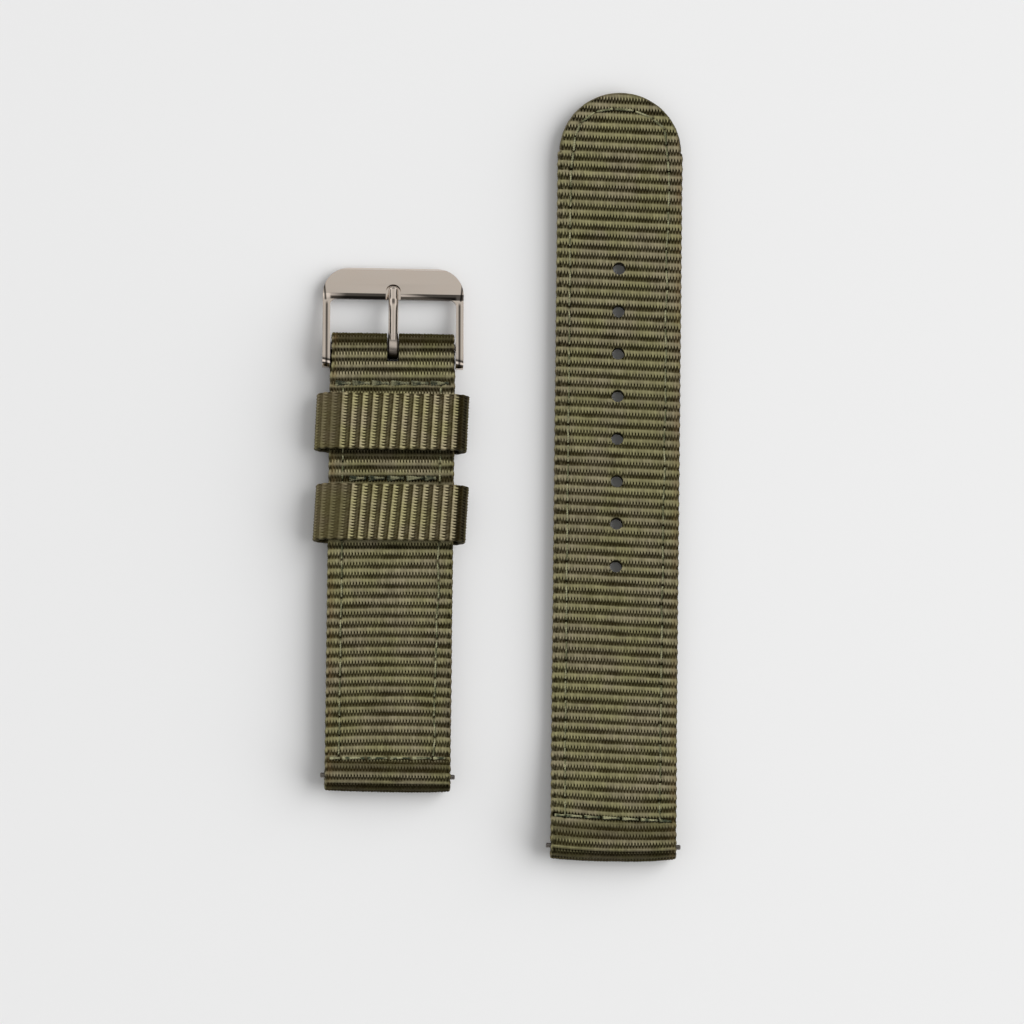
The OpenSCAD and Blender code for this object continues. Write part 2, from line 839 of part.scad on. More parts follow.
module buckle_frame() {
    hole_r = tip_d / 2 + bar_clear;
    hole_end = buckle_w / 2 - arm_skin;
    rest_r = tongue_d / 2 + rest_gap;
    color("lightgray")
        buckle_bar_place()
            difference() {
                intersection() {
                    across(buckle_w)
                        buckle_side();
                    translate([0, 0, -big / 2])
                        linear_extrude(height = big)
                            buckle_plan();
                }
                // Rest for the tongue's tip, square to the plate's upper face
                translate([0, tongue_reach - tongue_d / 2, plate_top(tongue_reach - tongue_d / 2)])
                    rotate([-plate_slope, 0, 0])
                        translate([0, 0, -rest_depth]) {
                            cylinder(r = rest_r, h = 2 * rest_depth);
                            translate([-rest_r, -plate_depth, 0])
                                cube([2 * rest_r, plate_depth, 2 * rest_depth]);
                        }
                // Blind holes for the bar's two tips
                x_cylinder(hole_r, 2 * hole_end);
            }
}

// Tongue, drawn about the bar: an eye round the tube and a bent round bar
tongue_r = tongue_d / 2;
eye_out_r = loop_bore_r + tongue_eye_wall;
shaft_y = loop_bore_r + bar_clear;
shaft_start = [shaft_y, sqrt(eye_out_r * eye_out_r - shaft_y * shaft_y) - tongue_r - eps];
tongue_end = [
    tongue_reach - tongue_r,
    plate_top(tongue_reach - tongue_r) + (tongue_stop_gap + tongue_r - rest_depth) / cos(plate_slope)
];
steep = tongue_steep_len * [cos(tongue_dip), -sin(tongue_dip)];
resting = tongue_rest_len * [cos(plate_slope), -sin(plate_slope)];
bends_drop = shaft_start[1] - tongue_end[1] + resting[1] + steep[1];
bend_r = bends_drop / (1 + cos(plate_slope) - 2 * cos(tongue_dip));
bends_run = bend_r * (2 * sin(tongue_dip) - sin(plate_slope));
level_len = tongue_end[0] - shaft_start[0] - resting[0] - steep[0] - bends_run;
bend_start = shaft_start + [level_len, 0];
steep_start = bend_start + bend_r * [sin(tongue_dip), cos(tongue_dip) - 1];
bend_end = tongue_end - resting;
tongue_runs = [
    [shaft_start, bend_start],
    [bend_start - [0, bend_r], bend_r, 90, 90 - tongue_dip],
    [steep_start, steep_start + steep],
    [bend_end + bend_r * [sin(plate_slope), cos(plate_slope)], bend_r, 270 - tongue_dip, 270 - plate_slope],
    [bend_end, tongue_end]
];

// Direction of travel along a run
function run_dir(run, s) =
    len(run) == 2
        ? (run[1] - run[0]) / run_len(run)
        : let (a = run[2] + (run[3] - run[2]) * s / run_len(run))
          sign(run[3] - run[2]) * [-sin(a), cos(a)];

// Stations along the tongue: [point, direction, radius], with the round tip last
bend_steps = 8;
tip_steps = 5;
tongue_sides = 16;
tongue_stations = concat(
    [for (i = [0 : len(tongue_runs) - 1])
        let (run = tongue_runs[i], steps = len(run) == 2 ? 1 : bend_steps)
        for (k = [0 : steps - 1])
            [run_point(run, run_len(run) * k / steps), run_dir(run, run_len(run) * k / steps), tongue_r]],
    [for (k = [0 : tip_steps - 1])
        let (a = 90 * k / tip_steps, way = resting / tongue_rest_len)
        [tongue_end + tongue_r * sin(a) * way, way, tongue_r * cos(a)]]
);
tongue_points = [for (st = tongue_stations, j = [0 : tongue_sides - 1])
    let (b = 360 * j / tongue_sides, out = [-st[1][1], st[1][0]] * sin(b))
    [st[2] * cos(b), st[0][0] + st[2] * out[0], st[0][1] + st[2] * out[1]]];

module tongue_eye() {
    eye_chamfer = 0.2;
    rotate([0, 90, 0])
        rotate_extrude()
            polygon([
                [loop_bore_r, -tongue_eye_w / 2],
                [eye_out_r - eye_chamfer, -tongue_eye_w / 2],
                [eye_out_r, -tongue_eye_w / 2 + eye_chamfer],
                [eye_out_r, tongue_eye_w / 2 - eye_chamfer],
                [eye_out_r - eye_chamfer, tongue_eye_w / 2],
                [loop_bore_r, tongue_eye_w / 2]
            ]);
}

module buckle_tongue() {
    color("lightgray")
        buckle_bar_place()
            difference() {
                union() {
                    tongue_eye();
                    polyhedron(
                        points = tongue_points,
                        faces = tube_faces(len(tongue_stations), tongue_sides)
                    );
                }
                x_cylinder(loop_bore_r, strap_w);
            }
}

short_webbing();
short_side_stitches_left();
short_side_stitches_right();
short_lug_row_stitches();
keeper_row_stitches();
keeper_tack_stitches();
buckle_row_stitches();
fixed_keeper();
floating_keeper();
floating_keeper_seam();
buckle_frame();
buckle_tongue();
buckle_bar_tube();
buckle_bar_plunger_left();
buckle_bar_plunger_right();
buckle_bar_spring();
short_bar_tube();
short_bar_plunger_left();
short_bar_plunger_right();
short_bar_spring();
tail_webbing();
tail_side_stitches_left();
tail_side_stitches_right();
tail_tip_stitches();
tail_lug_row_stitches();
tail_bar_tube();
tail_bar_plunger_left();
tail_bar_plunger_right();
tail_bar_spring();
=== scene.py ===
"""Dresses the two halves of a nylon watch strap: ribbed webbing, keepers, thread and polished steel."""

import copy
import math

import bmesh
import bpy
import numpy as np
from bpy.props import FloatProperty, FloatVectorProperty, PointerProperty
from mathutils import Matrix, Vector


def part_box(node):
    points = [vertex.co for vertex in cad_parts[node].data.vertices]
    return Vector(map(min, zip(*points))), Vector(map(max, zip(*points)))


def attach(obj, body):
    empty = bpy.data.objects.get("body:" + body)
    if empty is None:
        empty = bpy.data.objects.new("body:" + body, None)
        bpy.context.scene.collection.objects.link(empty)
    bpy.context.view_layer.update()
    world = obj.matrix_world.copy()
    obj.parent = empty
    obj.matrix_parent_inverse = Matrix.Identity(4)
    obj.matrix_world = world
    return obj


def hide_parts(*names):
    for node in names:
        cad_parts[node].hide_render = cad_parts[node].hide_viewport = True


bl_info = {
    "name": "Nylon watch strap",
    "version": (1, 0, 0),
    "blender": (4, 5, 0),
    "location": "View3D > Sidebar > Strap",
    "description": "Webbing, keepers, stitching, buckle and stage of a two-piece nylon watch strap",
    "category": "Object",
}

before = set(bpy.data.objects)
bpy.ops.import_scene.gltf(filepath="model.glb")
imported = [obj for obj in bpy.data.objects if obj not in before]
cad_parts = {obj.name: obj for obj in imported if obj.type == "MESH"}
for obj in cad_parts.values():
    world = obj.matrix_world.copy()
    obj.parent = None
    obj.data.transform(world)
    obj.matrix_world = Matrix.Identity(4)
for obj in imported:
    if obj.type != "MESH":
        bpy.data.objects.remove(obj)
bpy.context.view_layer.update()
MM = 0.001


def box_mm(node):
    """Lowest and highest corner of a CAD node, in millimetres."""
    low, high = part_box(node)
    return np.array(low) / MM, np.array(high) / MM


def centre_of(node):
    low, high = box_mm(node)
    return (low + high) / 2


SHORT_X = centre_of("short_webbing")[0]
TAIL_X = centre_of("tail_webbing")[0]
LUG_BAR = centre_of("short_bar_tube")
BUCKLE_BAR = centre_of("buckle_bar_tube")
TAIL_BAR = centre_of("tail_bar_tube")
# Outer radii of the folds round the lug bars and round the buckle's bar
LUG_R = LUG_BAR[1] - box_mm("short_webbing")[0][1]
FOLD_R = box_mm("short_webbing")[1][1] - BUCKLE_BAR[1]
BORE_R = 0.95
TAIL_TIP = box_mm("tail_webbing")[1][1]
TIP_R = 9.8
ROUND_AT = TAIL_TIP - TIP_R
HOLE_R = 1.0
FIRST_HOLE = TAIL_TIP - 28.7
HOLE_PITCH = 6.9
# One layer of webbing, and half the slit between the two layers
LAYER = 1.3
SLIT = 0.03
# From each bar to where the two layers of its fold meet
SHORT_NECK = 2.75
FOLD_NECK = 4.9
TAIL_NECK = 3.75
TAIL_RISE = 18.0
# Above this place the short half shows the webbing's other face
TURNED_ABOVE = -6.8
# The slot for the tongue, from the buckle's bar down and to either side
SLOT_DEPTH = 2.6
SLOT_HALF = 0.98
# Half width of the webbing, how much narrower it is at the tip and between the buckle's arms, and
# half the length and the middle of that last stretch, from the buckle's bar
BAND_HALF = 10.08
TIP_STEP = 0.28
ARMS_STEP = 0.21
ARMS_HALF = 5.4
ARMS_MIDDLE = 1.5
# How far the corners of the folded ends draw back
SHORT_CURL = 0.20
TAIL_CURL = 0.45


# Settings


def length(name, text, default, low, high):
    return FloatProperty(name=name, description=text, default=default, min=low, max=high, unit="LENGTH")


def amount(name, text, default, low, high):
    return FloatProperty(name=name, description=text, default=default, min=low, max=high)


def colour(name, text, *srgb):
    """A colour whose default is given as sRGB from 0 to 255."""
    default = tuple(((c / 255 + 0.055) / 1.055) ** 2.4 if c > 10 else c / 255 / 12.92 for c in srgb)
    return FloatVectorProperty(
        name=name, description=text, subtype="COLOR", size=3, min=0.0, max=1.0, default=default
    )


class StrapBandSettings(bpy.types.PropertyGroup):
    rib_pitch: length("Rib pitch", "Distance from one rib of the webbing to the next", 0.0016, 0.0012, 0.0024)
    rib_depth: length("Rib depth", "Depth of the groove between two ribs", 0.00030, 0.0001, 0.0005)
    yarn_pitch: length("Yarn pitch", "Width of one warp yarn across the strap", 0.000486, 0.0003, 0.001)
    yarn_crown: length("Yarn crown", "Height of a yarn's rounded back", 0.00010, 0.0, 0.0002)
    tail_skew: amount("Tail skew", "Slope of the tail's ribs across the strap", -0.0358, -0.1, 0.1)
    # The tone mixes the light and the dark yarn: the light one gives painted highlight, the dark one painted
    # shade between the yarns
    light: colour("Light yarn", "Webbing where its yarns catch the light", 166, 158, 124)
    dark: colour("Dark yarn", "Webbing deep between its yarns", 37, 30, 7)
    warm: colour("Warm yarn", "Brown strands along the right edge", 122, 100, 66)


class StrapKeeperSettings(bpy.types.PropertyGroup):
    rib_pitch: length("Keeper rib pitch", "Distance between a keeper's ribs", 0.00163, 0.0012, 0.0022)
    yarn_pitch: length("Keeper yarn pitch", "Width of one warp yarn of a keeper", 0.00047, 0.0003, 0.001)
    rib_depth: length("Keeper rib depth", "Depth of the groove between its ribs", 0.00026, 0.0001, 0.0005)
    # As for the band: the light yarn gives painted highlight, the dark one painted shade between the yarns
    light: colour("Keeper light yarn", "Keeper webbing where it catches the light", 190, 180, 142)
    dark: colour("Keeper dark yarn", "Keeper webbing between its yarns", 38, 31, 8)


class StrapThreadSettings(bpy.types.PropertyGroup):
    thickness: length("Thread", "Thickness of the sewing thread", 0.00024, 0.0002, 0.0007)
    rise: length("Thread rise", "Height of a stitch's middle above its ends", 0.00020, 0.0, 0.0006)
    twist: amount("Twist", "Turns of the thread's plies along one millimetre", 0.9, 0.0, 3.0)
    pale: colour("Pale thread", "Needle thread along the edges", 158, 156, 120)
    seam: colour("Seam thread", "Needle thread along the edges where it lies deep", 92, 94, 62)
    deep: colour("Dark thread", "Thread of the rows across the strap", 54, 62, 38)


class StrapSteelSettings(bpy.types.PropertyGroup):
    steel: colour("Steel", "Polished steel of the buckle", 214, 204, 194)
    bar: colour("Bar steel", "Steel of the spring bars", 120, 116, 112)
    spring: colour("Spring steel", "Wire of the springs", 112, 108, 104)
    roughness: amount("Buckle roughness", "Roughness of the buckle's polish", 0.06, 0.0, 0.5)
    edge: length("Edge round", "Width of the rounded edges of the buckle", 0.00038, 0.00005, 0.0006)


class StrapStageSettings(bpy.types.PropertyGroup):
    floor: colour("Floor", "Colour of the floor", 236, 236, 236)
    key: amount("Key light", "Power of the light on the strap", 38.0, 0.0, 400.0)
    side: amount("Side light", "Power of the low light that lays the soft shadow", 218.0, 0.0, 400.0)
    ambient: amount("Ambient", "Strength of the light from all round", 0.50, 0.0, 2.0)


SETTINGS = {
    "strap_band": StrapBandSettings,
    "strap_keeper": StrapKeeperSettings,
    "strap_thread": StrapThreadSettings,
    "strap_steel": StrapSteelSettings,
    "strap_stage": StrapStageSettings,
}


# Small helpers


def smooth(t):
    t = np.clip(t, 0.0, 1.0)
    return t * t * (3 - 2 * t)


def unit(values):
    return np.clip(values, 0.0, 1.0)


def scatter(i, j, salt=0.0):
    """A fixed random number from 0 to 1 for each pair of whole numbers."""
    v = np.sin(i * 12.9898 + j * 78.233 + salt * 37.719) * 43758.5453
    return v - np.floor(v)


def drift(values, step, size, seed):
    """A slow random wander along a line: a knot every step, size high."""
    knots = np.arange(-210.0, 90.0, step)
    heights = np.random.default_rng(seed).uniform(-size, size, len(knots))
    fine = np.linspace(knots[0], knots[-1], len(knots) * 12)
    kernel = np.hanning(17)
    soft = np.pad(np.interp(fine, knots, heights), 8, mode="edge")
    return np.interp(values, fine, np.convolve(soft, kernel / kernel.sum(), mode="valid"))


def add_object(name, data):
    obj = bpy.data.objects.new(name, data)
    bpy.context.scene.collection.objects.link(obj)
    return obj


def make_mesh(name, points, faces, look=None):
    """A mesh object from points in millimetres, with its weave look as a colour attribute."""
    mesh = bpy.data.meshes.new(name)
    mesh.vertices.add(len(points))
    mesh.vertices.foreach_set("co", (np.asarray(points) * MM).astype(np.float32).ravel())
    flat = np.concatenate([np.asarray(f).ravel() for f in faces])
    # An array holds many faces, a list is one face
    sizes = [np.full(len(f), f.shape[1]) if isinstance(f, np.ndarray) else [len(f)] for f in faces]
    sizes = np.concatenate(sizes)
    mesh.loops.add(len(flat))
    mesh.loops.foreach_set("vertex_index", flat.astype(np.int32))
    mesh.polygons.add(len(sizes))
    mesh.polygons.foreach_set("loop_start", (np.cumsum(sizes) - sizes).astype(np.int32))
    mesh.update(calc_edges=True)
    mesh.validate()
    corners = np.zeros(len(mesh.polygons), np.int32)
    mesh.polygons.foreach_get("loop_total", corners)
    mesh.polygons.foreach_set("use_smooth", corners < 5)
    if look is not None:
        rgba = np.ones((len(points), 4), np.float32)
        rgba[:, :3] = look
        mesh.color_attributes.new("weave", "FLOAT_COLOR", "POINT").data.foreach_set("color", rgba.ravel())
    return add_object(name, mesh)


def finish_piece(obj, material, body, nodes):
    obj.data.materials.clear()
    obj.data.materials.append(material)
    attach(obj, body)
    if nodes:
        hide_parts(*nodes)


# Materials


def feed(tree, node, sockets):
    """Gives a node's inputs, by name or number, a value or another node's output."""
    for key, value in sockets.items():
        if isinstance(value, bpy.types.NodeSocket):
            tree.links.new(value, node.inputs[key])
        else:
            node.inputs[key].default_value = value
    return node


def add_node(tree, kind, sockets=None, **settings):
    node = tree.nodes.new(kind)
    for key, value in settings.items():
        setattr(node, key, value)
    return feed(tree, node, sockets or {})


def maths(tree, operation, *values, clamp=False):
    sockets = dict(enumerate(values))
    return add_node(tree, "ShaderNodeMath", sockets, operation=operation, use_clamp=clamp).outputs[0]


def mix_colours(tree, factor, a, b, blend="MIX"):
    a, b = (c if isinstance(c, bpy.types.NodeSocket) else (*tuple(c)[:3], 1.0) for c in (a, b))
    sockets = {0: factor, 6: a, 7: b}
    return add_node(tree, "ShaderNodeMix", sockets, data_type="RGBA", blend_type=blend).outputs[2]


def map_range(tree, value, low, high, ends=(0.0, 1.0), kind="LINEAR"):
    sockets = {0: value, "From Min": low, "From Max": high, "To Min": ends[0], "To Max": ends[1]}
    return add_node(tree, "ShaderNodeMapRange", sockets, interpolation_type=kind).outputs[0]


def mask(tree, value, low, high):
    """0 below low and 1 above high, or the other way round when high is below low."""
    ends = (0.0, 1.0) if low < high else (1.0, 0.0)
    return map_range(tree, value, min(low, high), max(low, high), ends, "SMOOTHSTEP")


def object_place(tree):
    return add_node(tree, "ShaderNodeTexCoord").outputs["Object"]


def noise(tree, vector, scale, detail):
    sockets = {"Vector": vector, "Scale": scale, "Detail": detail}
    return add_node(tree, "ShaderNodeTexNoise", sockets).outputs[0]


def bump(tree, height, strength, distance):
    sockets = {"Height": height, "Strength": strength, "Distance": distance}
    return add_node(tree, "ShaderNodeBump", sockets).outputs[0]


def new_material(name):
    material = bpy.data.materials.new(name)
    material.use_nodes = True
    tree = material.node_tree
    tree.nodes.clear()
    shader = add_node(tree, "ShaderNodeBsdfPrincipled")
    add_node(tree, "ShaderNodeOutputMaterial", {0: shader.outputs[0]})
    return material, tree, shader


def webbing_material(name, dark, light, warm, fibre_scale):
    """Nylon webbing. The weave attribute gives yarn tone, which holds painted highlight and shade, warm
    strands, and painted shade.
    """
    material, tree, shader = new_material(name)
    weave_look = add_node(tree, "ShaderNodeVertexColor", layer_name="weave").outputs[0]
    tone, strands, shade = add_node(tree, "ShaderNodeSeparateColor", {0: weave_look}).outputs[:3]
    place = object_place(tree)
    stretched = add_node(tree, "ShaderNodeMapping", {0: place, "Scale": fibre_scale}).outputs[0]
    fibre = noise(tree, stretched, 1.0, 3.0)
    cloud = noise(tree, place, 210.0, 4.0)
    tone = maths(tree, "ADD", tone, maths(tree, "MULTIPLY_ADD", fibre, 0.24, -0.12), clamp=True)
    base = mix_colours(tree, strands, mix_colours(tree, tone, dark, light), warm)
    green = mix_colours(tree, 1.0, base, (0.965, 1.0, 0.87), "MULTIPLY")
    grey = mix_colours(tree, 1.0, base, (1.0, 0.985, 1.05), "MULTIPLY")
    base = mix_colours(tree, map_range(tree, cloud, 0.40, 0.60), green, grey)
    # The shade channel darkens the colour: painted shade
    lit = maths(tree, "SUBTRACT", 1.0, shade)
    lit = add_node(tree, "ShaderNodeCombineColor", {0: lit, 1: lit, 2: lit}).outputs[0]
    feed(tree, shader, {
        "Base Color": mix_colours(tree, 1.0, base, lit, "MULTIPLY"),
        "Normal": bump(tree, fibre, 0.35, 0.00004),
        "Roughness": 0.7,
        "Specular IOR Level": 0.05,
    })
    return material


def thread_material(name, dark, pale):
    material, tree, shader = new_material(name)
    grain = noise(tree, object_place(tree), 900.0, 3.0)
    feed(tree, shader, {
        "Base Color": mix_colours(tree, map_range(tree, grain, 0.42, 0.58), dark, pale),
        "Normal": bump(tree, grain, 0.3, 0.00003),
        "Roughness": 0.5,
        "Sheen Weight": 0.1,
    })
    return material


def steel_material(name, base, roughness, marks=0.02):
    """Steel with a faint cloudiness in its polish."""
    material, tree, shader = new_material(name)
    cloud = noise(tree, object_place(tree), 420.0, 5.0)
    warmer = tuple(c * k for c, k in zip(base, (1.02, 0.98, 0.95)))
    feed(tree, shader, {
        "Base Color": mix_colours(tree, cloud, base, warmer),
        "Normal": bump(tree, cloud, marks, 0.00002),
        "Roughness": map_range(tree, cloud, 0.0, 1.0, (roughness * 0.7, roughness * 1.5)),
        "Metallic": 1.0,
    })
    return material, tree, shader


# The weave

# Places of the grid's rows, of a rib's crest and of its bright band, a painted highlight, as shares of the
# rib's pitch
ROW_SHARES = (0.0, 0.09, 0.18, 0.28, 0.38, 0.47, 0.56, 0.65, 0.75, 0.94)
KEEPER_ROW_SHARES = (0.0, 0.10, 0.20, 0.37, 0.47, 0.60, 0.71, 0.81, 0.93)
CREST = 0.76
BAND = 0.85
# Painted shade between a keeper's yarns
KEEPER_PAINTED_GAP_SHADE = 0.14


def rib_drop(g):
    """How far below its crest a rib is, as a share of its depth, at a share g of its pitch."""
    up = np.abs((g - CREST) / 0.40) ** 2.0 * 0.55
    down = np.abs((CREST - g) / 0.62) ** 2.0 * 0.95
    return np.where(g > CREST, up, down)


def yarn_width(g):
    """Half width of a yarn, as a share of the yarn pitch, at a share g of the rib's pitch."""
    low = 0.06 + 0.16 * smooth((g - 0.34) / 0.18) + 0.36 * smooth((g - 0.62) / 0.14)
    return np.minimum(low, 0.58 - 0.38 * smooth((g - 0.98) / 0.20))


def rib_painted_light(g):
    """Brightness of a yarn along its rib, a painted highlight and shade: dark where it dives, bright as it
    rises, even over the crest.
    """
    rise = smooth((g - 0.33) / 0.20) * (1.0 - 0.42 * smooth((g - 0.60) / 0.14))
    return rise * (1.0 - 0.42 * smooth((g - 0.96) / 0.10) - 0.18 * smooth((g - 1.06) / 0.22))


def keeper_width(g):
    """The same for a keeper, whose yarns stay apart over most of the crest."""
    low = 0.20 + 0.04 * smooth((g - 0.36) / 0.10) + 0.34 * smooth((g - 0.74) / 0.08)
    return np.minimum(low, 0.58 - 0.38 * smooth((g - 0.95) / 0.15))


# Painted highlight and shade along a keeper's rib: dark where its yarn dives, bright as it rises
def keeper_painted_light(g):
    rise = smooth((g - 0.38) / 0.08) * (1.0 - 0.36 * smooth((g - 0.74) / 0.08))
    return rise * (1.0 - smooth((g - 0.93) / 0.08))


def weave(q, across, yarn, depth, crown, salt, painted_gap_shade=0.0, width=yarn_width, bright=rib_painted_light):
    """Depth below the surface and tone of ribbed webbing at rib coordinate q and distance across. The tone is
    painted highlight and shade with a random share for each yarn, and between yarns it is a painted shade.
    """
    base = np.floor(q)
    best = np.full(q.shape, -9.0)
    tone = np.full(q.shape, painted_gap_shade)
    for step in (0, -1, 1):
        rib = base + step
        g = (q - base) - step
        column = across / yarn - 0.5 * np.mod(rib, 2)
        end = np.round(column)
        off = np.abs(column - end)
        half = width(g) * (0.90 + 0.20 * scatter(rib, end, salt))
        side = off / half
        lump = (scatter(rib, end, salt + 1.3) - 0.5) * 0.14
        height = -depth * (rib_drop(g) + lump) - crown * np.minimum(side, 1.0) ** 2
        height -= depth * 1.6 * np.maximum(side - 1.0, 0.0)
        shade = bright(g) * (0.84 + 0.32 * scatter(rib, end, salt + 2.1))
        shade *= 0.92 + 0.16 * scatter(rib, 0, salt + 5.0)
        cover = unit(1.0 - (off - half) / 0.07)
        win = height > best
        best = np.where(win, height, best)
        tone = np.where(win, shade * cover + painted_gap_shade * (1 - cover), tone)
    return np.maximum(best, -1.5 * depth), tone


def scalloped(rib, share=1.0):
    """Swell of the selvedge beside each rib; share is how much of it swells and sinks."""
    return 1 - share + share * np.abs(np.cos(math.pi * (np.mod(rib, 1.0) - CREST + 0.5))) ** 1.5


# Sheets of webbing

# The rounded selvedge: how far out, and how deep, each of its chains of points lies
EDGE_OUT = (0.16, 0.27, 0.33, 0.35, 0.33, 0.24, 0.02, -0.45)
EDGE_DEPTH = (0.03, 0.12, 0.26, 0.45, 0.66, 0.86, 1.0, 1.0)
EDGE_INSET = 0.35
HIDDEN_INSET = 0.45


def chain_faces(first, second):
    """Quads between two equally long chains of vertex numbers."""
    return np.stack([first[:-1], first[1:], second[1:], second[:-1]], axis=1)


def outward(a, x, round_at):
    """Direction out of the band at its border, along and across, and how far round the tip it is."""
    if round_at is None:
        return 0.0, np.sign(x), np.zeros(len(a))
    up = np.maximum(a - round_at, 0.0)
    size = np.hypot(x, up)
    return up / size, x / size, smooth(up)


def build_layer(name, place, look, A, X, round_at=None, closed=False, slot=None, holes=(), inner=0.2):
    """One closed layer of webbing from a grid of along and across values, row 0 first along.

    place gives points for along, across, depth share and height; look gives height, tone, warm and shade.
    round_at is the along value where a round tip starts, and closed joins the last row to the first.
    slot is a block of rows and columns left open, and holes are along values with their blocks. inner is
    where the two middle columns of the hidden face are, as a share of its half width.
    """
    rows, cols = A.shape
    height, tone, warm, shade = look(A, X)
    points = [place(A, X, 0.0, height).reshape(-1, 3)]
    looks = [np.stack([tone, warm, shade], axis=-1).reshape(-1, 3)]
    number = np.arange(rows * cols).reshape(rows, cols)
    count = rows * cols
    faces = []

    def add_chain(a, x, depth, height, *values):
        """Adds a chain of points with its look and returns its numbers."""
        nonlocal count
        points.append(place(a, x, depth, np.full(len(a), height)))
        looks.append(np.stack([np.broadcast_to(v, len(a)) for v in values], axis=-1))
        count += len(a)
        return np.arange(count - len(a), count)

    def selvedge(numbers):
        """The chains of points round the edge of the face, from the face to the hidden one."""
        a, x = A.ravel()[numbers], X.ravel()[numbers]
        way_a, way_x, arc = outward(a, x, round_at)
        _, tone, _, shade = look(a, x)
        wave = look.scallop(a, x) * (1 - 0.75 * arc)
        chains = [numbers]
        for k, (out, depth) in enumerate(zip(EDGE_OUT, EDGE_DEPTH)):
            out = out - 0.12 * wave * (k < 6)
            # Down the selvedge the tone falls and the painted shade grows from chain to chain, and round the
            # tip the tone is lower
            chains.append(add_chain(
                a + way_a * out, x + way_x * out, depth, -0.02,
                unit(tone * 0.35 + 0.55 * (1 - wave) * (1.0 - 0.12 * k)) * (1 - 0.55 * arc),
                np.where(x > 0, 0.35, 0.1) * (1 - wave) * (1 - arc),
                np.clip(shade + 0.04 * k, 0, 0.6),
            ))
        for first, second in zip(chains[:-1], chains[1:]):
            if closed:
                first, second = np.append(first, first[0]), np.append(second, second[0])
            faces.append(chain_faces(first, second))
        return chains

    if round_at is None:
        left = [chain[::-1] for chain in selvedge(number[::-1, 0])]
        right = selvedge(number[:, -1])
    else:
        border = selvedge(np.concatenate([number[::-1, 0], number[0, 1:-1], number[:, -1]]))
        left, right = [chain[:rows][::-1] for chain in border], [chain[-rows:] for chain in border]

    # The hidden face has only four columns
    ends = []
    for a, x in ((A[:, 0], X[:, 0]), (A[:, -1], X[:, -1])):
        way_a, way_x, _ = outward(a, x, round_at)
        ends.append((a - HIDDEN_INSET * way_a, x - HIDDEN_INSET * way_x))
    (a_left, x_left), (a_right, x_right) = ends
    hidden = [left[-1]]
    for side in (-inner, inner):
        x = side * (x_right - x_left) / 2
        a = a_left + (a_right - a_left) * ((x - x_left) / (x_right - x_left))
        # The hidden face gets a low tone and painted shade
        hidden.append(add_chain(a, x, 1.0, 0.0, 0.2, 0.0, 0.3))
    hidden = np.stack(hidden + [right[-1]], axis=1)
    if closed:
        number, hidden = np.vstack([number, number[:1]]), np.vstack([hidden, hidden[:1]])
    keep = np.ones((len(number) - 1, cols - 1), bool)
    keep_hidden = np.ones((len(hidden) - 1, 3), bool)

    if slot is not None:
        r0, r1, c0, c1 = slot
        keep[r0:r1, c0:c1] = False
        keep_hidden[r0:r1, 1] = False
        faces.append(chain_faces(number[r0:r1 + 1, c0], hidden[r0:r1 + 1, 1]))
        faces.append(chain_faces(number[r1:r0 - 1:-1, c1], hidden[r1:r0 - 1:-1, 2]))
        faces.append([*number[r0, c1:c0 - 1:-1], *hidden[r0, 1:3]])
        faces.append([*number[r1, c0:c1 + 1], *hidden[r1, 2:0:-1]])

    for hole, (r0, r1, c0, c1) in holes:
        keep[r0:r1, c0:c1] = False
        # From the top left to the right, down, back along the bottom and up the left side
        corners = [number[r0, c0:c1], number[r0:r1, c1], number[r1, c1:c0:-1], number[r1:r0:-1, c0]]
        ring = np.concatenate(corners)
        ang = np.arctan2(A.ravel()[ring] - hole, X.ravel()[ring])
        # The walls of a hole darken with depth: painted shade
        for depth in (0.22, 0.6, 1.0):
            a = hole + HOLE_R * np.sin(ang) * (1 + 0.02 * np.sin(7 * ang))
            x = HOLE_R * np.cos(ang) * (1 + 0.02 * np.cos(5 * ang))
            lower = add_chain(a, x, depth, 0.0, 0.25 - 0.1 * depth, 0.0, 0.35)
            faces.append(np.stack([np.roll(ring, -1), ring, lower, np.roll(lower, -1)], axis=1))
            ring = lower
        r0, r1 = r0 - 2, r1 + 2
        keep_hidden[r0:r1, 1] = False
        around = (hidden[r0, 1:3], hidden[r0:r1 + 1, 2], hidden[r1, 2:0:-1], hidden[r1:r0 - 1:-1, 1])
        marks = np.cumsum([0] + [len(c) for c in corners])
        ring = np.append(ring, ring[0])
        for outside, i, j in zip(around, marks[:-1], marks[1:]):
            faces.append([*outside, *ring[i:j + 1][::-1]])

    for block, grid, turn in ((keep, number, False), (keep_hidden, hidden, True)):
        r, c = np.nonzero(block)
        corners = [grid[r, c], grid[r + 1, c], grid[r + 1, c + 1], grid[r, c + 1]]
        faces.append(np.stack(corners[:1] + corners[:0:-1] if turn else corners, axis=1))
    if not closed:
        end_left, end_right = ([chain[-1] for chain in side[1:]] for side in (left, right))
        faces.append([*number[-1, ::-1], *end_left, *hidden[-1, 1:-1], *end_right[::-1]])
        if round_at is None:
            end_left, end_right = ([chain[0] for chain in side[1:]] for side in (left, right))
            faces.append([*number[0], *end_right, *hidden[0, 2:0:-1], *end_left[::-1]])
        else:
            faces.append([*hidden[0, ::-1], *border[-1][rows:-rows]])
    return make_mesh(name, np.concatenate(points), faces, np.concatenate(looks))


# Side outlines of the two halves


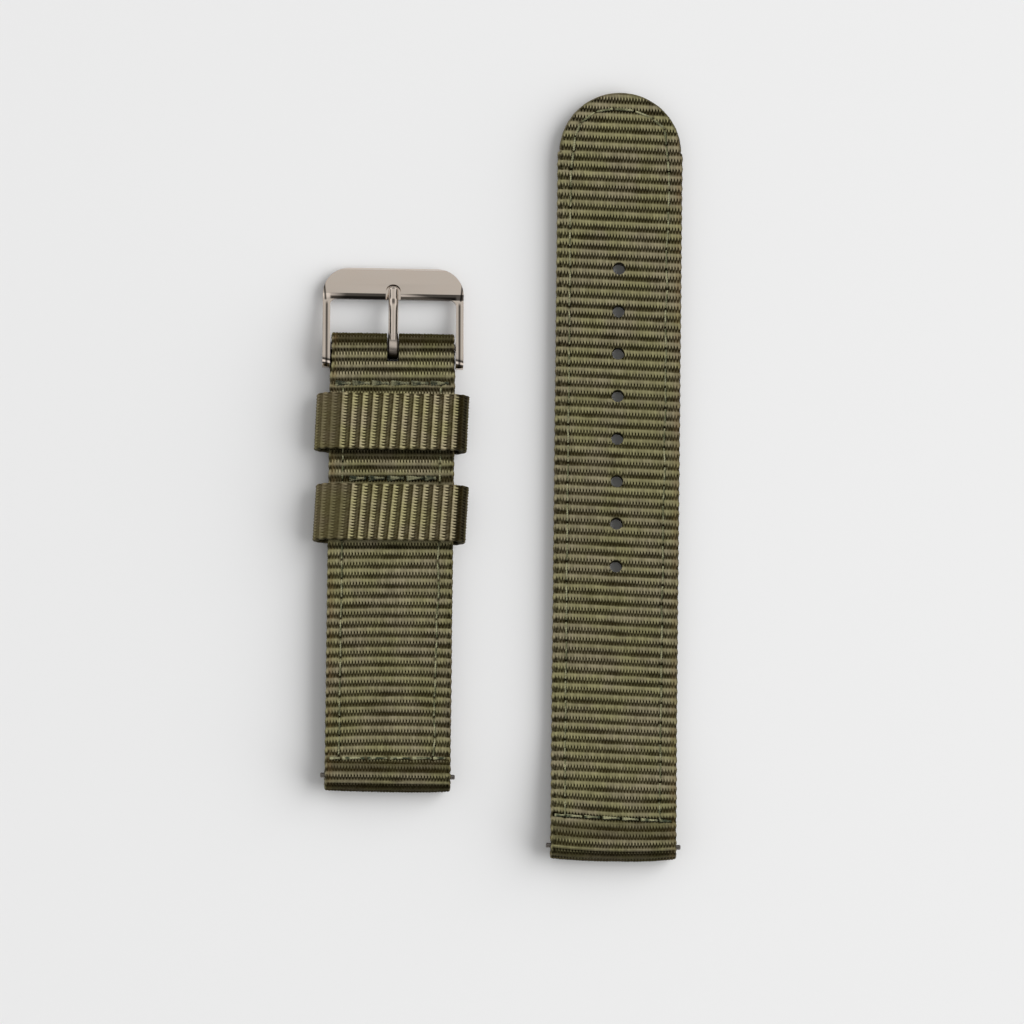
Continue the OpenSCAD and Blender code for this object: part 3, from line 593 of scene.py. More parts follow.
def fold(centre_y, centre_z, r, neck, side, step=0.04):
    """Outer and inner points (y, z) of a fold round a bar, from its upper neck to its lower one.

    side is 1 where the strap lies on the +Y side of the bar.
    """
    touch = math.atan2(LAYER, neck) + math.acos(min(1.0, r / math.hypot(neck, LAYER)))
    way = np.array([math.cos(touch), math.sin(touch)])
    tangent = r * way
    n = max(6, int(math.hypot(neck - tangent[0], LAYER - tangent[1]) / step))
    t = np.linspace(0, 1, n, endpoint=False)[:, None]
    ang = np.linspace(touch, 2 * math.pi - touch, int(r * (2 * math.pi - 2 * touch) / step))[:, None]
    arc = np.concatenate([np.cos(ang), np.sin(ang)], axis=1)
    lines = []
    for radius, height in ((r, LAYER), (BORE_R, SLIT)):
        down = np.array([neck, height]) * (1 - t) + radius * way * t
        line = np.concatenate([down, radius * arc, down[::-1] * np.array([1, -1])])
        line[:, 0] *= side
        lines.append(line + np.array([centre_y, centre_z]))
    return lines


def run(start, end, middle, side, whole=False, step=0.1):
    """Outer and inner points of a straight run: side is 1 for the upper layer and -1 for the lower one."""
    y = np.linspace(start, end, max(2, int(abs(end - start) / step)) + whole, endpoint=whole)
    return [np.stack([y, middle(y) + side * t], axis=1) for t in (LAYER, SLIT)]


class Outline:
    """Side outline of a band, looked up by the distance along it, which falls from its start.

    The second of its runs starts at the along value anchor.
    """

    def __init__(self, runs, anchor, blur=5):
        outer, self.inner = (np.concatenate([r[k] for r in runs]) for k in range(2))
        kernel = np.hanning(2 * blur + 1)
        self.outer = outer.copy()
        for k in range(2):
            self.outer[blur:-blur, k] = np.convolve(outer[:, k], kernel / kernel.sum(), mode="valid")
        steps = np.hypot(*np.diff(self.outer, axis=0).T)
        ends = np.cumsum([len(r[0]) for r in runs])
        self.a = 0.0 - np.concatenate([[0], np.cumsum(steps)])
        self.a += anchor - self.a[ends[0]]
        self.start, self.fold_end, self.end = self.a[0], self.a[ends[-2]], self.a[-1]
        tangent = np.gradient(self.outer, axis=0)
        tangent /= np.linalg.norm(tangent, axis=1)[:, None]
        self.normal = np.stack([tangent[:, 1], -tangent[:, 0]], axis=1)

    def at(self, table, a):
        return np.stack([np.interp(a, self.a[::-1], table[::-1, k]) for k in range(2)], axis=-1)

    def along_at(self, y):
        """The along value where the upper side is at a place y."""
        top = self.outer[:, 1] > LUG_BAR[2] - 0.5
        order = np.argsort(self.outer[top, 0])
        return float(np.interp(y, self.outer[top, 0][order], self.a[top][order]))

    def placer(self, centre_x, curl):
        """Points of the band; curl is how far the corners of its folded end draw back."""
        def place(a, x, t, w):
            outer, inner, normal = (self.at(table, a) for table in (self.outer, self.inner, self.normal))
            corner = 0.5 + np.where(x > 0, 1.3, 0.9) * np.abs(x / 10) ** 3
            w = w - curl * corner * np.maximum(-normal[..., 0], 0.0) ** 2 * (1 - t)
            flat = outer * (1 - t) + inner * t + normal * w[..., None]
            return np.stack([centre_x + x, flat[..., 0], flat[..., 1]], axis=-1)

        return place


def short_outline():
    """Starts on the lining under the buckle row, folds round the buckle bar and ends under the lug row."""
    z = LUG_BAR[2]
    top, foot = BUCKLE_BAR[1] - FOLD_NECK, LUG_BAR[1] + SHORT_NECK

    def middle(y):
        return np.full(len(y), z)

    buckle_fold = [line[::-1] for line in fold(BUCKLE_BAR[1], z, FOLD_R, FOLD_NECK, -1)]
    lug_fold = fold(LUG_BAR[1], z, LUG_R, SHORT_NECK, 1)
    return Outline([buckle_fold, run(top, foot, middle, 1), lug_fold, run(foot, top, middle, -1)], top)


def tail_middle(y):
    """Height of the slit between the tail's two layers: it lies on the floor and rises to its bar."""
    s = np.clip((y - TAIL_BAR[1] - TAIL_NECK) / TAIL_RISE, 0, 1)
    return LAYER + (TAIL_BAR[2] - LAYER) * (1 + np.cos(math.pi * s)) / 2


def tail_outline():
    foot, top = TAIL_BAR[1] + TAIL_NECK, TAIL_TIP + 0.5
    lug_fold = fold(TAIL_BAR[1], TAIL_BAR[2], LUG_R, TAIL_NECK, 1)
    lower = run(foot, top, tail_middle, -1, whole=True)
    return Outline([run(top, foot, tail_middle, 1), lug_fold, lower], foot)


class Weave:
    """The look of one band: where its ribs and yarns are, and how deep and how bright they are, the
    brightness holding painted highlight and shade.
    """

    half_w = 10.0
    bow = sag = 0.0
    turned_above = 1e3
    melted_tip = False

    def __init__(self, band, **values):
        self.yarn, self.depth, self.crown = band.yarn_pitch / MM, band.rib_depth / MM, band.yarn_crown / MM
        self.pits = []
        for key, value in values.items():
            setattr(self, key, value)

    def slope(self, a):
        low, high = self.skew_from
        return smooth((a - low) / (high - low))

    def shift(self, a, x):
        """How far a rib is moved along at a distance across."""
        bow = self.bow * (1 - 0.85 * smooth((a + 40.0) / 28.0)) * self.slope(a)
        bow = bow - self.sag * smooth((-49.0 - a) / 6.0)
        return self.slope(a) * self.skew * x - bow * (x / self.half_w) ** 2

    def rib(self, a, x):
        wander = drift(a, 9.0, 0.07, self.seed)
        return (a - self.shift(a, x) - self.phase + wander) / self.pitch + BAND

    def scallop(self, a, x):
        return scalloped(self.rib(a, x))

    def selvedges(self, x, f, rib, height, tone):
        """One selvedge shows a row of sunk gaps between loops, with painted shade in the gaps, the other
        brown strands. Both edges get painted shade.
        """
        edge = self.half_w - np.abs(x)
        gap_side = np.sign(x) == self.bead_side
        # Painted shade in the sunk gaps between the selvedge's loops
        bead = np.exp(-((edge - self.bead_at) / 0.19) ** 2) * smooth((0.34 - np.abs(f - 0.30)) / 0.12) * gap_side
        loops = np.exp(-((edge - self.bead_at) / 0.30) ** 2) * gap_side
        tone = np.maximum(tone, 0.60 * loops * smooth((f - 0.15) / 0.1)) * (1 - 0.95 * bead)
        strands = np.where(gap_side, 0.0, np.exp(-((edge - 0.5) / 0.55) ** 2))
        warm = strands * (0.15 + 0.45 * scatter(rib, 3, self.seed)) * (0.4 + 0.6 * tone)
        # The gaps sink, and both edges get painted shade
        return height - 0.22 * bead, tone, warm, 0.22 * np.exp(-edge / 0.25)

    def neighbour_shade(self, x, f, rib):
        """How much painted shade a rib gets here from its neighbour, which a few of its yarns get."""
        slow = x / 3.1 + 7.0 * scatter(rib, 0, self.seed + 7)
        at = np.floor(slow)
        mix = smooth(slow - at)
        value = scatter(rib, at, self.seed + 8) * (1 - mix) + scatter(rib, at + 1, self.seed + 8) * mix
        return smooth((value - 0.5) / 0.45) * smooth((0.60 - f) / 0.12)

    def __call__(self, a, x):
        q = self.rib(a, x)
        q = np.where(a > self.turned_above, 2 * BAND - q - 0.12, q)
        rib = np.floor(q)
        f = q - rib
        height, tone = weave(q, x, self.yarn, self.depth, self.crown, self.seed)
        height, tone, warm, shade = self.selvedges(x, f, rib, height, tone)
        # Painted shade over a few stretches of each rib's lower part
        tone = tone * (1 - 0.5 * self.neighbour_shade(x, f, rib))
        # A random wander across, and painted shade where the band is dimmed
        tone = tone * (1 + drift(x, 1.7, 0.06, self.seed + 3)) * np.interp(a, *self.dim)
        # Each line of painted shade darkens the tone and sinks the webbing by its depth; one with no depth is
        # painted shadow only
        for at, wide, deep in self.grooves:
            dip = np.exp(-((a - self.shift(a, x) - at) / wide) ** 2)
            tone = tone * (1 - 0.92 * dip)
            height = height - deep * dip
        # Each needle pit sinks, with painted shade in it
        for pit_a, pit_x, size in self.pits:
            near = np.abs(a - pit_a) < 3 * size
            pit = np.exp(-(np.hypot(a[near] - pit_a, x[near] - pit_x) / size) ** 2)
            height[near] -= 0.30 * pit
            tone[near] *= 1 - 0.9 * pit
        if self.melted_tip:
            # The heat-cut edge round the tip is melted: dark and smooth
            inward = TIP_R - np.hypot(x, np.maximum(a - ROUND_AT, 0.0))
            melt = (1 - smooth((inward - 0.15) / 0.35)) * (a > ROUND_AT - 0.2)
            tone = tone * (1 - melt) + 0.10 * melt
            height = height * (1 - melt) - 0.12 * melt
        return height, unit(tone), unit(warm), unit(shade)


def row_values(look, start, end):
    """Along values of the grid's rows between two along values, start first, placed on the ribs."""
    a = np.linspace(end, start, 4000)
    q = look.rib(a, np.zeros(len(a)))
    ribs = range(int(np.floor(q[0])), int(np.ceil(q[-1])) + 1)
    wanted = np.array([rib + share for rib in ribs for share in ROW_SHARES])
    rows = np.interp(wanted, q, a)
    inside = (wanted > q[0]) & (wanted < q[-1]) & (rows > end + 0.06) & (rows < start - 0.06)
    return np.concatenate([[end], rows[inside], [start]])[::-1]


def thinned(rows):
    """Rows without the ones that lie close after another."""
    return rows[np.concatenate([[True], np.diff(rows) < -0.12])]


def groove_near(look, a):
    """The along value of the groove between ribs nearest to one."""
    near = np.linspace(a - 2, a + 2, 800)
    q = look.rib(near, np.zeros(len(near)))
    return float(np.interp(round(float(np.interp(a, near, q))), q, near))


def columns(half, yarn, per_yarn):
    """Shares of the half width at which a grid has columns: the middle of a yarn always has one."""
    return np.linspace(-1, 1, 2 * int(round(half / yarn * per_yarn)) + 1)


# Stitches

# Corners of the side rows, as (along, across), left and right
SHORT_SIDES = (
    ((-46.1, -7.84), (-11.5, -7.76), (14.2, -7.9)),
    ((-46.1, 7.3), (-11.8, 7.75), (14.2, 7.85)),
)
TAIL_SIDES = (
    ((-55.4, -7.85), (49.8, -7.93)),
    ((-55.8, 7.28), (49.8, 7.74)),
)
# Ends of the stitches round the tip, as (across, along)
TIP_ENDS = (
    (-7.9, 49.83), (-7.53, 52.73), (-7.3, 55.2), (-6.39, 57.43), (-4.11, 59.25), (-1.09, 59.78),
    (2.18, 59.53), (5.2, 58.28), (7.13, 56.56), (7.35, 53.98), (7.66, 51.4), (7.78, 49.83),
)
# Along values of the cross rows, and places across of their stitch ends
SHORT_LUG_ROW = -46.4
TAIL_LUG_ROW = -55.45
KEEPER_ROW = -1.15
BUCKLE_ROW = 14.25
SHORT_LUG_X = (-9.4, -7.62, -3.5, 0.08, 3.65, 7.14, 9.2)
TAIL_LUG_X = (-9.5, -7.85, -4.91, -2.05, 1.17, 4.11, 7.24, 9.3)
KEEPER_ROW_X = (-6.9, -3.9, -0.9, 2.2, 5.3, 7.2)
BUCKLE_ROW_X = (-9.3, -6.6, -3.5, -0.4, 2.8, 5.9, 9.2)
STITCH = 3.2
# How deep a thread's ends lie below the webbing, and how much deeper where its face is turned
THREAD_DEPTH = 0.24
TURNED_DEPTH = 0.11
# How far the threads below are drawn up, and how far a thread strays, in metres
UNDER_RISE = 0.08
LOOSE = 0.00003


def side_row(line, wobble, seed):
    """Ends of a row of stitches that follows a line of (along, across) corners."""
    line = np.asarray(line, float)
    count = max(1, int(round(abs(line[-1, 0] - line[0, 0]) / STITCH)))
    a = np.linspace(line[0, 0], line[-1, 0], count + 1)
    x = np.interp(a, line[:, 0], line[:, 1])
    rng = np.random.default_rng(seed)
    x = x + rng.uniform(-wobble, wobble, len(x))
    a[1:-1] += rng.uniform(-0.12, 0.12, len(a) - 2)
    return list(zip(a, x))


def stitch_rows():
    """Rows of stitch ends on each band, as (along, across), by the name of their node."""
    tail_slope = bpy.context.scene.strap_band.tail_skew * 1.1
    return {
        "short_side_stitches_left": side_row(SHORT_SIDES[0], 0.05, 11),
        "short_side_stitches_right": side_row(SHORT_SIDES[1], 0.16, 12),
        "tail_side_stitches_left": side_row(TAIL_SIDES[0], 0.05, 13),
        "tail_side_stitches_right": side_row(TAIL_SIDES[1], 0.16, 14),
        "tail_tip_stitches": [(y, x) for x, y in TIP_ENDS],
        "short_lug_row_stitches": [(SHORT_LUG_ROW + 0.018 * x, x) for x in SHORT_LUG_X],
        "tail_lug_row_stitches": [(TAIL_LUG_ROW + tail_slope * x, x) for x in TAIL_LUG_X],
        "keeper_row_stitches": [(KEEPER_ROW + 0.02 * x, x) for x in KEEPER_ROW_X],
        "buckle_row_stitches": [(BUCKLE_ROW + 0.015 * x, x) for x in BUCKLE_ROW_X],
    }


def needle_pits(band):
    """The pits where the needle went through one band's webbing, with their sizes."""
    rows = {name: ends for name, ends in stitch_rows().items() if name.startswith("tail") == (band == "tail")}
    return [(a, x, 0.34 if "row" in name else 0.28) for name, ends in rows.items() for a, x in ends]


THREAD_INPUTS = ("Thickness", "Rise", "Twist", "Loose")


def thread_tree():
    """Geometry nodes that turn loose edges into sewn threads: each edge becomes a twisted, arched stitch."""
    tree = bpy.data.node_groups.new("sewn_thread", "GeometryNodeTree")
    kinds = [("Geometry", "Geometry"), *((name, "Float") for name in THREAD_INPUTS), ("Seed", "Int"),
             ("Material", "Material")]
    for name, kind in kinds:
        tree.interface.new_socket(name, in_out="INPUT", socket_type="NodeSocket" + kind)
    tree.interface.new_socket("Geometry", in_out="OUTPUT", socket_type="NodeSocketGeometry")
    inp = add_node(tree, "NodeGroupInput").outputs

    def step(kind, sockets, **settings):
        return add_node(tree, kind, sockets, **settings).outputs[0]

    line = step("GeometryNodeMeshToCurve", {"Mesh": inp["Geometry"]})
    line = step("GeometryNodeResampleCurve", {"Curve": line, "Count": 12})
    along = add_node(tree, "GeometryNodeSplineParameter").outputs["Factor"]
    lift = step("GeometryNodeInputNamedAttribute", {"Name": "lift"}, data_type="FLOAT_VECTOR")
    # Arch: high in the middle and down into the cloth at both ends
    centred = maths(tree, "ABSOLUTE", maths(tree, "MULTIPLY_ADD", along, 2.0, -1.0))
    arch = maths(tree, "SUBTRACT", 1.0, maths(tree, "POWER", centred, 2.6))
    arch = maths(tree, "MULTIPLY", arch, inp["Rise"])
    push = step("ShaderNodeVectorMath", {0: lift, "Scale": arch}, operation="SCALE")
    wobble = step("FunctionNodeRandomValue", {0: (-1, -1, -0.3), 1: (1, 1, 0.3), "Seed": inp["Seed"]},
                  data_type="FLOAT_VECTOR")
    loose = step("ShaderNodeVectorMath", {0: wobble, "Scale": inp["Loose"]}, operation="SCALE")
    both = step("ShaderNodeVectorMath", {0: push, 1: loose}, operation="ADD")
    line = step("GeometryNodeSetPosition", {"Geometry": line, "Offset": both})
    line = step("GeometryNodeCurveSplineType", {0: line}, spline_type="NURBS")
    line = step("GeometryNodeResampleCurve", {"Curve": line, "Count": 18})
    turned = add_node(tree, "GeometryNodeSplineParameter").outputs["Factor"]
    turned = maths(tree, "MULTIPLY", turned, inp["Twist"])
    line = step("GeometryNodeSetCurveTilt", {"Curve": line, "Tilt": turned})
    plies = step("GeometryNodeCurveStar", {
        "Points": 3, "Inner Radius": maths(tree, "MULTIPLY", inp["Thickness"], 0.36),
        "Outer Radius": maths(tree, "MULTIPLY", inp["Thickness"], 0.56),
    })
    tube = step("GeometryNodeCurveToMesh", {"Curve": line, "Profile Curve": plies, "Fill Caps": True})
    tube = step("GeometryNodeSetShadeSmooth", {0: step("GeometryNodeRealizeInstances", {0: tube})})
    tube = step("GeometryNodeSetMaterial", {0: tube, "Material": inp["Material"]})
    add_node(tree, "NodeGroupOutput", {0: tube})
    return tree


def sew(name, segments, lift, material, thickness, rise, twist, seed):
    """One mesh of threads, one for each segment, made by the geometry nodes. Points are in millimetres."""
    tree = bpy.data.node_groups.get("sewn_thread") or thread_tree()
    mesh = bpy.data.meshes.new(name)
    points = np.asarray(segments, float).reshape(-1, 3) * MM
    mesh.from_pydata(points.tolist(), np.arange(len(points)).reshape(-1, 2).tolist(), [])
    lifts = np.zeros((len(points), 3), np.float32)
    lifts[:, 2] = np.repeat(lift, 2)
    mesh.attributes.new("lift", "FLOAT_VECTOR", "POINT").data.foreach_set("vector", lifts.ravel())
    obj = add_object(name, mesh)
    modifier = obj.modifiers.new("thread", "NODES")
    modifier.node_group = tree
    values = dict(zip(THREAD_INPUTS, (thickness, rise, twist, LOOSE)), Seed=seed, Material=material)
    for socket in tree.interface.items_tree:
        if socket.in_out == "INPUT" and socket.name in values:
            modifier[socket.identifier] = values[socket.name]
    obj.update_tag()
    bpy.context.view_layer.update()
    made = bpy.data.meshes.new_from_object(obj.evaluated_get(bpy.context.evaluated_depsgraph_get()))
    obj.modifiers.remove(modifier)
    obj.data = made
    return obj


# Pieces

# Half widths of the face's grid, which sets its columns, and of the hidden face
COLUMN_HALF = 9.97 - EDGE_INSET
HIDDEN_HALF = 9.2
# The lug piece of the tail and its lining lie over each other this far in the fold, on either side
OVERLAP = 0.25
# Rows of the grid round the tip, on the face and on the lining
TIP_ROWS = 62
LINING_TIP_ROWS = 44
# Columns of the grids for each yarn
TIP_COLUMNS = 6
KEEPER_COLUMNS = 6
FACE_COLUMNS = 4
LINING_COLUMNS = 3


def half_width(kind, a):
    """Half width of a band: the fold narrows between the buckle's arms, and the tip steps in a little."""
    if kind == "tail":
        return BAND_HALF + drift(a, 4.0, 0.02, 5) - TIP_STEP * smooth((a - ROUND_AT + 0.12) / 0.24)
    between_arms = np.abs(a - (BUCKLE_BAR[1] + ARMS_MIDDLE)) < ARMS_HALF
    return BAND_HALF + drift(a, 4.0, 0.02, 6) - ARMS_STEP * between_arms


def dimming(shape, *pairs):
    """Where each stretch of a band lies in shade, from places on its upper side and shares of its light."""
    return [shape.along_at(y) for y, _ in pairs], [light for _, light in pairs]


def short_look(shape):
    return Weave(
        bpy.context.scene.strap_band, phase=-28.735, pitch=1.5875, skew=0.0135, skew_from=(-47.5, -44.0),
        bow=0.24, seed=21, bead_side=1, bead_at=0.45, turned_above=TURNED_ABOVE,
        # Stretches in painted shade round both folds and between the keepers
        dim=dimming(
            shape, (-51.6, 0.16), (-51.1, 0.20), (-50.7, 0.95), (-49.2, 1.0), (-48.8, 0.34), (-46.8, 0.34),
            (-46.2, 1.0), (-3.0, 1.0), (-1.5, 0.82), (3.0, 0.82), (4.0, 1.0), (19.8, 1.0), (20.3, 0.44),
            (20.9, 0.22), (21.6, 0.15),
        ),
        # Lines of painted shade: two sunk grooves, and two with no depth that are painted shadow beside the
        # keepers
        grooves=(
            (shape.along_at(-50.85), 0.20, 0.22), (SHORT_LUG_ROW, 0.20, 0.15),
            (shape.along_at(3.0), 0.45, 0.0), (shape.along_at(-1.5), 0.40, 0.0),
        ),
    )


def tail_look(shape):
    band = bpy.context.scene.strap_band
    return Weave(
        band, phase=44.335, pitch=band.rib_pitch / MM, skew=band.tail_skew, skew_from=(-62.5, -57.5),
        seed=31, bead_side=-1, bead_at=0.6, sag=0.5, melted_tip=True,
        # Stretches in painted shade round the lug fold
        dim=dimming(
            shape, (-62.3, 0.30), (-61.5, 0.34), (-61.0, 0.95), (-59.4, 1.0), (-58.9, 0.46), (-56.3, 0.46),
            (-55.7, 1.0),
        ),
        # Lines of painted shade in two sunk grooves
        grooves=((shape.along_at(-61.2), 0.22, 0.30), (TAIL_LUG_ROW, 0.20, 0.15)),
    )


def band_material():
    band = bpy.context.scene.strap_band
    return bpy.data.materials.get("woven_nylon") or webbing_material(
        "woven_nylon", band.dark, band.light, band.warm, (9000, 1300, 5000)
    )


class STRAP_OT_short_band(bpy.types.Operator):
    """Makes the short half's folded webbing: the face with both folds, and the lining"""

    bl_idname = "strap.short_band"
    bl_label = "Short half"

    def execute(self, context):
        shape = short_outline()
        look = short_look(shape)
        look.pits = needle_pits("short")
        cut = (shape.fold_end + (LUG_BAR[1] + SHORT_NECK)) / 2
        self.piece("short_band_face", shape, look, row_values(look, shape.start - 0.02, cut), True)
        self.piece("short_band_lining", shape, look, thinned(row_values(look, cut, shape.end + 0.02)), False)
        return {"FINISHED"}

    def piece(self, name, shape, look, rows, face):
        along, U = np.meshgrid(rows, columns(COLUMN_HALF, look.yarn, FACE_COLUMNS), indexing="ij")
        X = U * (half_width("short", along) - EDGE_INSET)
        slot, inner = None, 0.5
        if face:
            # The slot for the tongue
            inside = shape.at(shape.outer, rows)[:, 0] > BUCKLE_BAR[1] - SLOT_DEPTH
            r0, r1 = np.nonzero(inside)[0][[0, -1]]
            c0, c1 = (int(np.argmin(np.abs(X[r0] - side * SLOT_HALF))) for side in (-1, 1))
            slot, inner = (r0, r1, c0, c1), SLOT_HALF / HIDDEN_HALF
        place = shape.placer(SHORT_X, SHORT_CURL)
        obj = build_layer(name, place, look, along + look.shift(along, X), X, slot=slot, inner=inner)
        finish_piece(obj, band_material(), "strap_halves", ["short_webbing"] if face else ())


def tail_grid(look, rows, per_yarn, holes):
    """The tail's grid, skewed with the ribs and drawn in to the round tip, and its holes' blocks."""
    along, U = np.meshgrid(rows, columns(COLUMN_HALF, look.yarn, per_yarn), indexing="ij")
    X = U * (half_width("tail", along) - EDGE_INSET)
    A = along + look.shift(along, X) * (1 - smooth((along - (ROUND_AT - 7.0)) / 6.5))
    r = TIP_R - EDGE_INSET
    v = unit((along - ROUND_AT) / r)
    tip = along > ROUND_AT
    X = np.where(tip, r * U * np.sqrt(1 - v ** 2 / 2), X)
    A = np.where(tip, ROUND_AT + r * v * np.sqrt(1 - U ** 2 / 2), A)
    return A, X, [(hole, round_hole(A, X, hole)) for hole in holes]


def round_hole(A, X, hole):
    """Draws the grid round a hole, and returns the block of cells inside it."""
    r, c = np.unravel_index(np.argmin(np.hypot(A - hole, X)), A.shape)
    nr = int(round(HOLE_R * 0.92 / (abs(A[r + 6, c] - A[r - 6, c]) / 12)))
    nc = int(round(HOLE_R * 0.92 / abs(X[r, c + 1] - X[r, c])))
    reach = [np.arange(i - 2 * n, i + 2 * n + 1) for i, n in ((r, nr), (c, nc))]
    rr, cc = np.meshgrid(*reach, indexing="ij")
    up, side = (r - rr) / nr, (cc - c) / nc
    q = np.maximum(np.abs(side), np.abs(up))
    size = np.hypot(side, up)
    size[size == 0] = 1
    radial = HOLE_R * np.maximum(q, 0.05)
    w = smooth(q - 1)
    A[rr, cc] = (1 - w) * (hole + radial * up / size) + w * A[rr, cc]
    X[rr, cc] = (1 - w) * radial * side / size + w * X[rr, cc]
    return r - nr, r + nr, c - nc, c + nc


class Underside:
    """A band's look from below: across runs the other way, and the sag of its rows turns round."""

    def __init__(self, look):
        self.yarn = look.yarn
        self.upper = copy.copy(look)
        self.upper.sag = -look.sag

    def rib(self, a, x):
        return self.upper.rib(a, -x) + 0.4

    def shift(self, a, x):
        return self.upper.shift(a, -x)

    def scallop(self, a, x):
        return self.upper.scallop(a, -x)

    def __call__(self, a, x):
        return self.upper(a, -x)


class STRAP_OT_tail_band(bpy.types.Operator):
    """Makes the tail's folded webbing, its holes and its round tip: the face in two pieces, and the lining"""

    bl_idname = "strap.tail_band"
    bl_label = "Tail half"

    def execute(self, context):
        shape = tail_outline()
        look = tail_look(shape)
        look.pits = needle_pits("tail")
        upper_place = shape.placer(TAIL_X, TAIL_CURL)
        tip = TAIL_TIP - EDGE_INSET
        neck = TAIL_BAR[1] + TAIL_NECK
        holes = [FIRST_HOLE - i * HOLE_PITCH for i in range(8)]
        middle = groove_near(look, (holes[2] + holes[3]) / 2)
        cut = (shape.fold_end + neck) / 2
        # The lining's along values are places along the strap, and run on past the neck into the fold
        lining_end = neck + (shape.fold_end - (cut + OVERLAP))
        under = Underside(look)

        def under_place(a, x, t, w):
            return upper_place(shape.fold_end - (a - neck), -x, t, w)

        tip_rows = row_values(look, tip, middle)
        tip_rows = tip_rows[tip_rows < ROUND_AT - 0.08]
        tip_rows = np.concatenate([np.linspace(tip, ROUND_AT, TIP_ROWS), tip_rows])
        lug_rows = row_values(look, middle, cut - OVERLAP)
        lining_rows = thinned(row_values(under, ROUND_AT - 0.1, lining_end))
        lining_rows = np.concatenate([np.linspace(tip, ROUND_AT, LINING_TIP_ROWS), lining_rows])
        for name, place, side, rows, per_yarn, round_at, pierced in (
            ("tail_band_tip", upper_place, look, tip_rows, TIP_COLUMNS, ROUND_AT, holes[:3]),
            ("tail_band_lug", upper_place, look, lug_rows, FACE_COLUMNS, None, holes[3:]),
            ("tail_band_lining", under_place, under, lining_rows, LINING_COLUMNS, ROUND_AT, holes),
        ):
            A, X, blocks = tail_grid(side, rows, per_yarn, pierced)
            obj = build_layer(name, place, side, A, X, round_at=round_at, holes=blocks)
            replaced = ["tail_webbing"] if name == "tail_band_tip" else ()
            finish_piece(obj, band_material(), "strap_halves", replaced)
        return {"FINISHED"}


# Thickness of a keeper, and the distance between the points of its outline
KEEPER_LAYER = 1.1
RING_STEP = 0.06


class Ring:
    """A keeper's shape and look: a ring of webbing round the strap, with its ribs along Y.

    Along is the distance round the ring and across is the place on its width.
    """

    def __init__(self, node, seed, lean, left_shade_from, move):
        low, high = box_mm(node)
        self.seed, self.lean, self.left_shade_from = seed, lean, left_shade_from
        self.centre = (low + high) / 2 + np.array([0, move, 0])
        self.width = high[1] - low[1]
        self.r = (high[2] - low[2]) / 2
        self.flat = (high[0] - low[0]) / 2 - self.r
        r, flat = self.r, self.flat
        xs = np.linspace(flat, -flat, int(2 * flat / RING_STEP), endpoint=False)
        ang = np.linspace(math.pi / 2, 3 * math.pi / 2, int(math.pi * r / RING_STEP), endpoint=False)
        bend = np.stack([np.cos(ang), np.sin(ang)], 1)
        path = [np.stack([xs, np.full(len(xs), r)], 1), np.array([-flat, 0]) + r * bend]
        normals = [np.tile([0.0, 1.0], (len(xs), 1)), bend]
        self.path, self.normals = (
            np.concatenate([*half, -half[0], -half[1], half[0][:1]]) for half in (path, normals)
        )
        self.dist = np.concatenate([[0], np.cumsum(np.hypot(*np.diff(self.path, axis=0).T))])
        settings = bpy.context.scene.strap_keeper
        self.ribs = int(round(self.dist[-1] / (settings.rib_pitch / MM)))
        self.ribs += self.ribs % 2
        self.pitch = self.dist[-1] / self.ribs
        self.depth, self.yarn = settings.rib_depth / MM, settings.yarn_pitch / MM
        self.crown = bpy.context.scene.strap_band.yarn_crown / MM

    def at(self, table, a):
        s = np.mod(-a, self.dist[-1])
        return np.stack([np.interp(s, self.dist, table[:, k]) for k in range(2)], axis=-1)

    def place(self, a, x, t, w):
        p = self.at(self.path, a) + self.at(self.normals, a) * (w[..., None] - KEEPER_LAYER * t)
        side = np.abs(p[..., 0] / (self.flat + self.r))
        px = p[..., 0] + self.lean * x * (1 - 0.5 * side)
        return np.stack([self.centre[0] + px, self.centre[1] + x, self.centre[2] + p[..., 1]], axis=-1)

    def scallop(self, a, x):
        return scalloped(-a / self.pitch, 0.5)

    def __call__(self, a, x):
        q = -a / self.pitch
        height, tone = weave(
            q, x, self.yarn, self.depth, self.crown, self.seed, KEEPER_PAINTED_GAP_SHADE, keeper_width, keeper_painted_light
        )
        f = q - np.floor(q)
        # The flank away from the light shows plain brown between its ticks
        flank = 0.13 + 0.08 * (scatter(np.floor(q), np.floor(x / 0.7), self.seed) - 0.5)
        tone = np.maximum(tone, flank * smooth((0.48 - f) / 0.06) * smooth((f - 0.06) / 0.08))
        # The right end is darkened, a painted shade, but for a thin painted highlight along its rim; the left
        # end is plainer and darker, a painted shade too; both edges across get painted shade
        at = self.at(self.path, a)[..., 0]
        right = smooth((at - self.flat - 0.75) / 0.5)
        left = smooth((-at - self.left_shade_from) / 1.6)
        rim_highlight = np.exp(-((at - self.flat - self.r + 0.15) / 0.12) ** 2)
        tone = tone * (1 - left) + left * (0.15 + 0.20 * (tone - 0.4))
        tone = tone * (1 - 0.86 * right) + 0.25 * rim_highlight
        shade = 0.35 * right * (1 - rim_highlight) + 0.2 * np.exp(-(self.width / 2 - np.abs(x)) / 0.2)
        return height * (1 - 0.55 * left), unit(tone), np.full(tone.shape, 0.06), unit(shade)


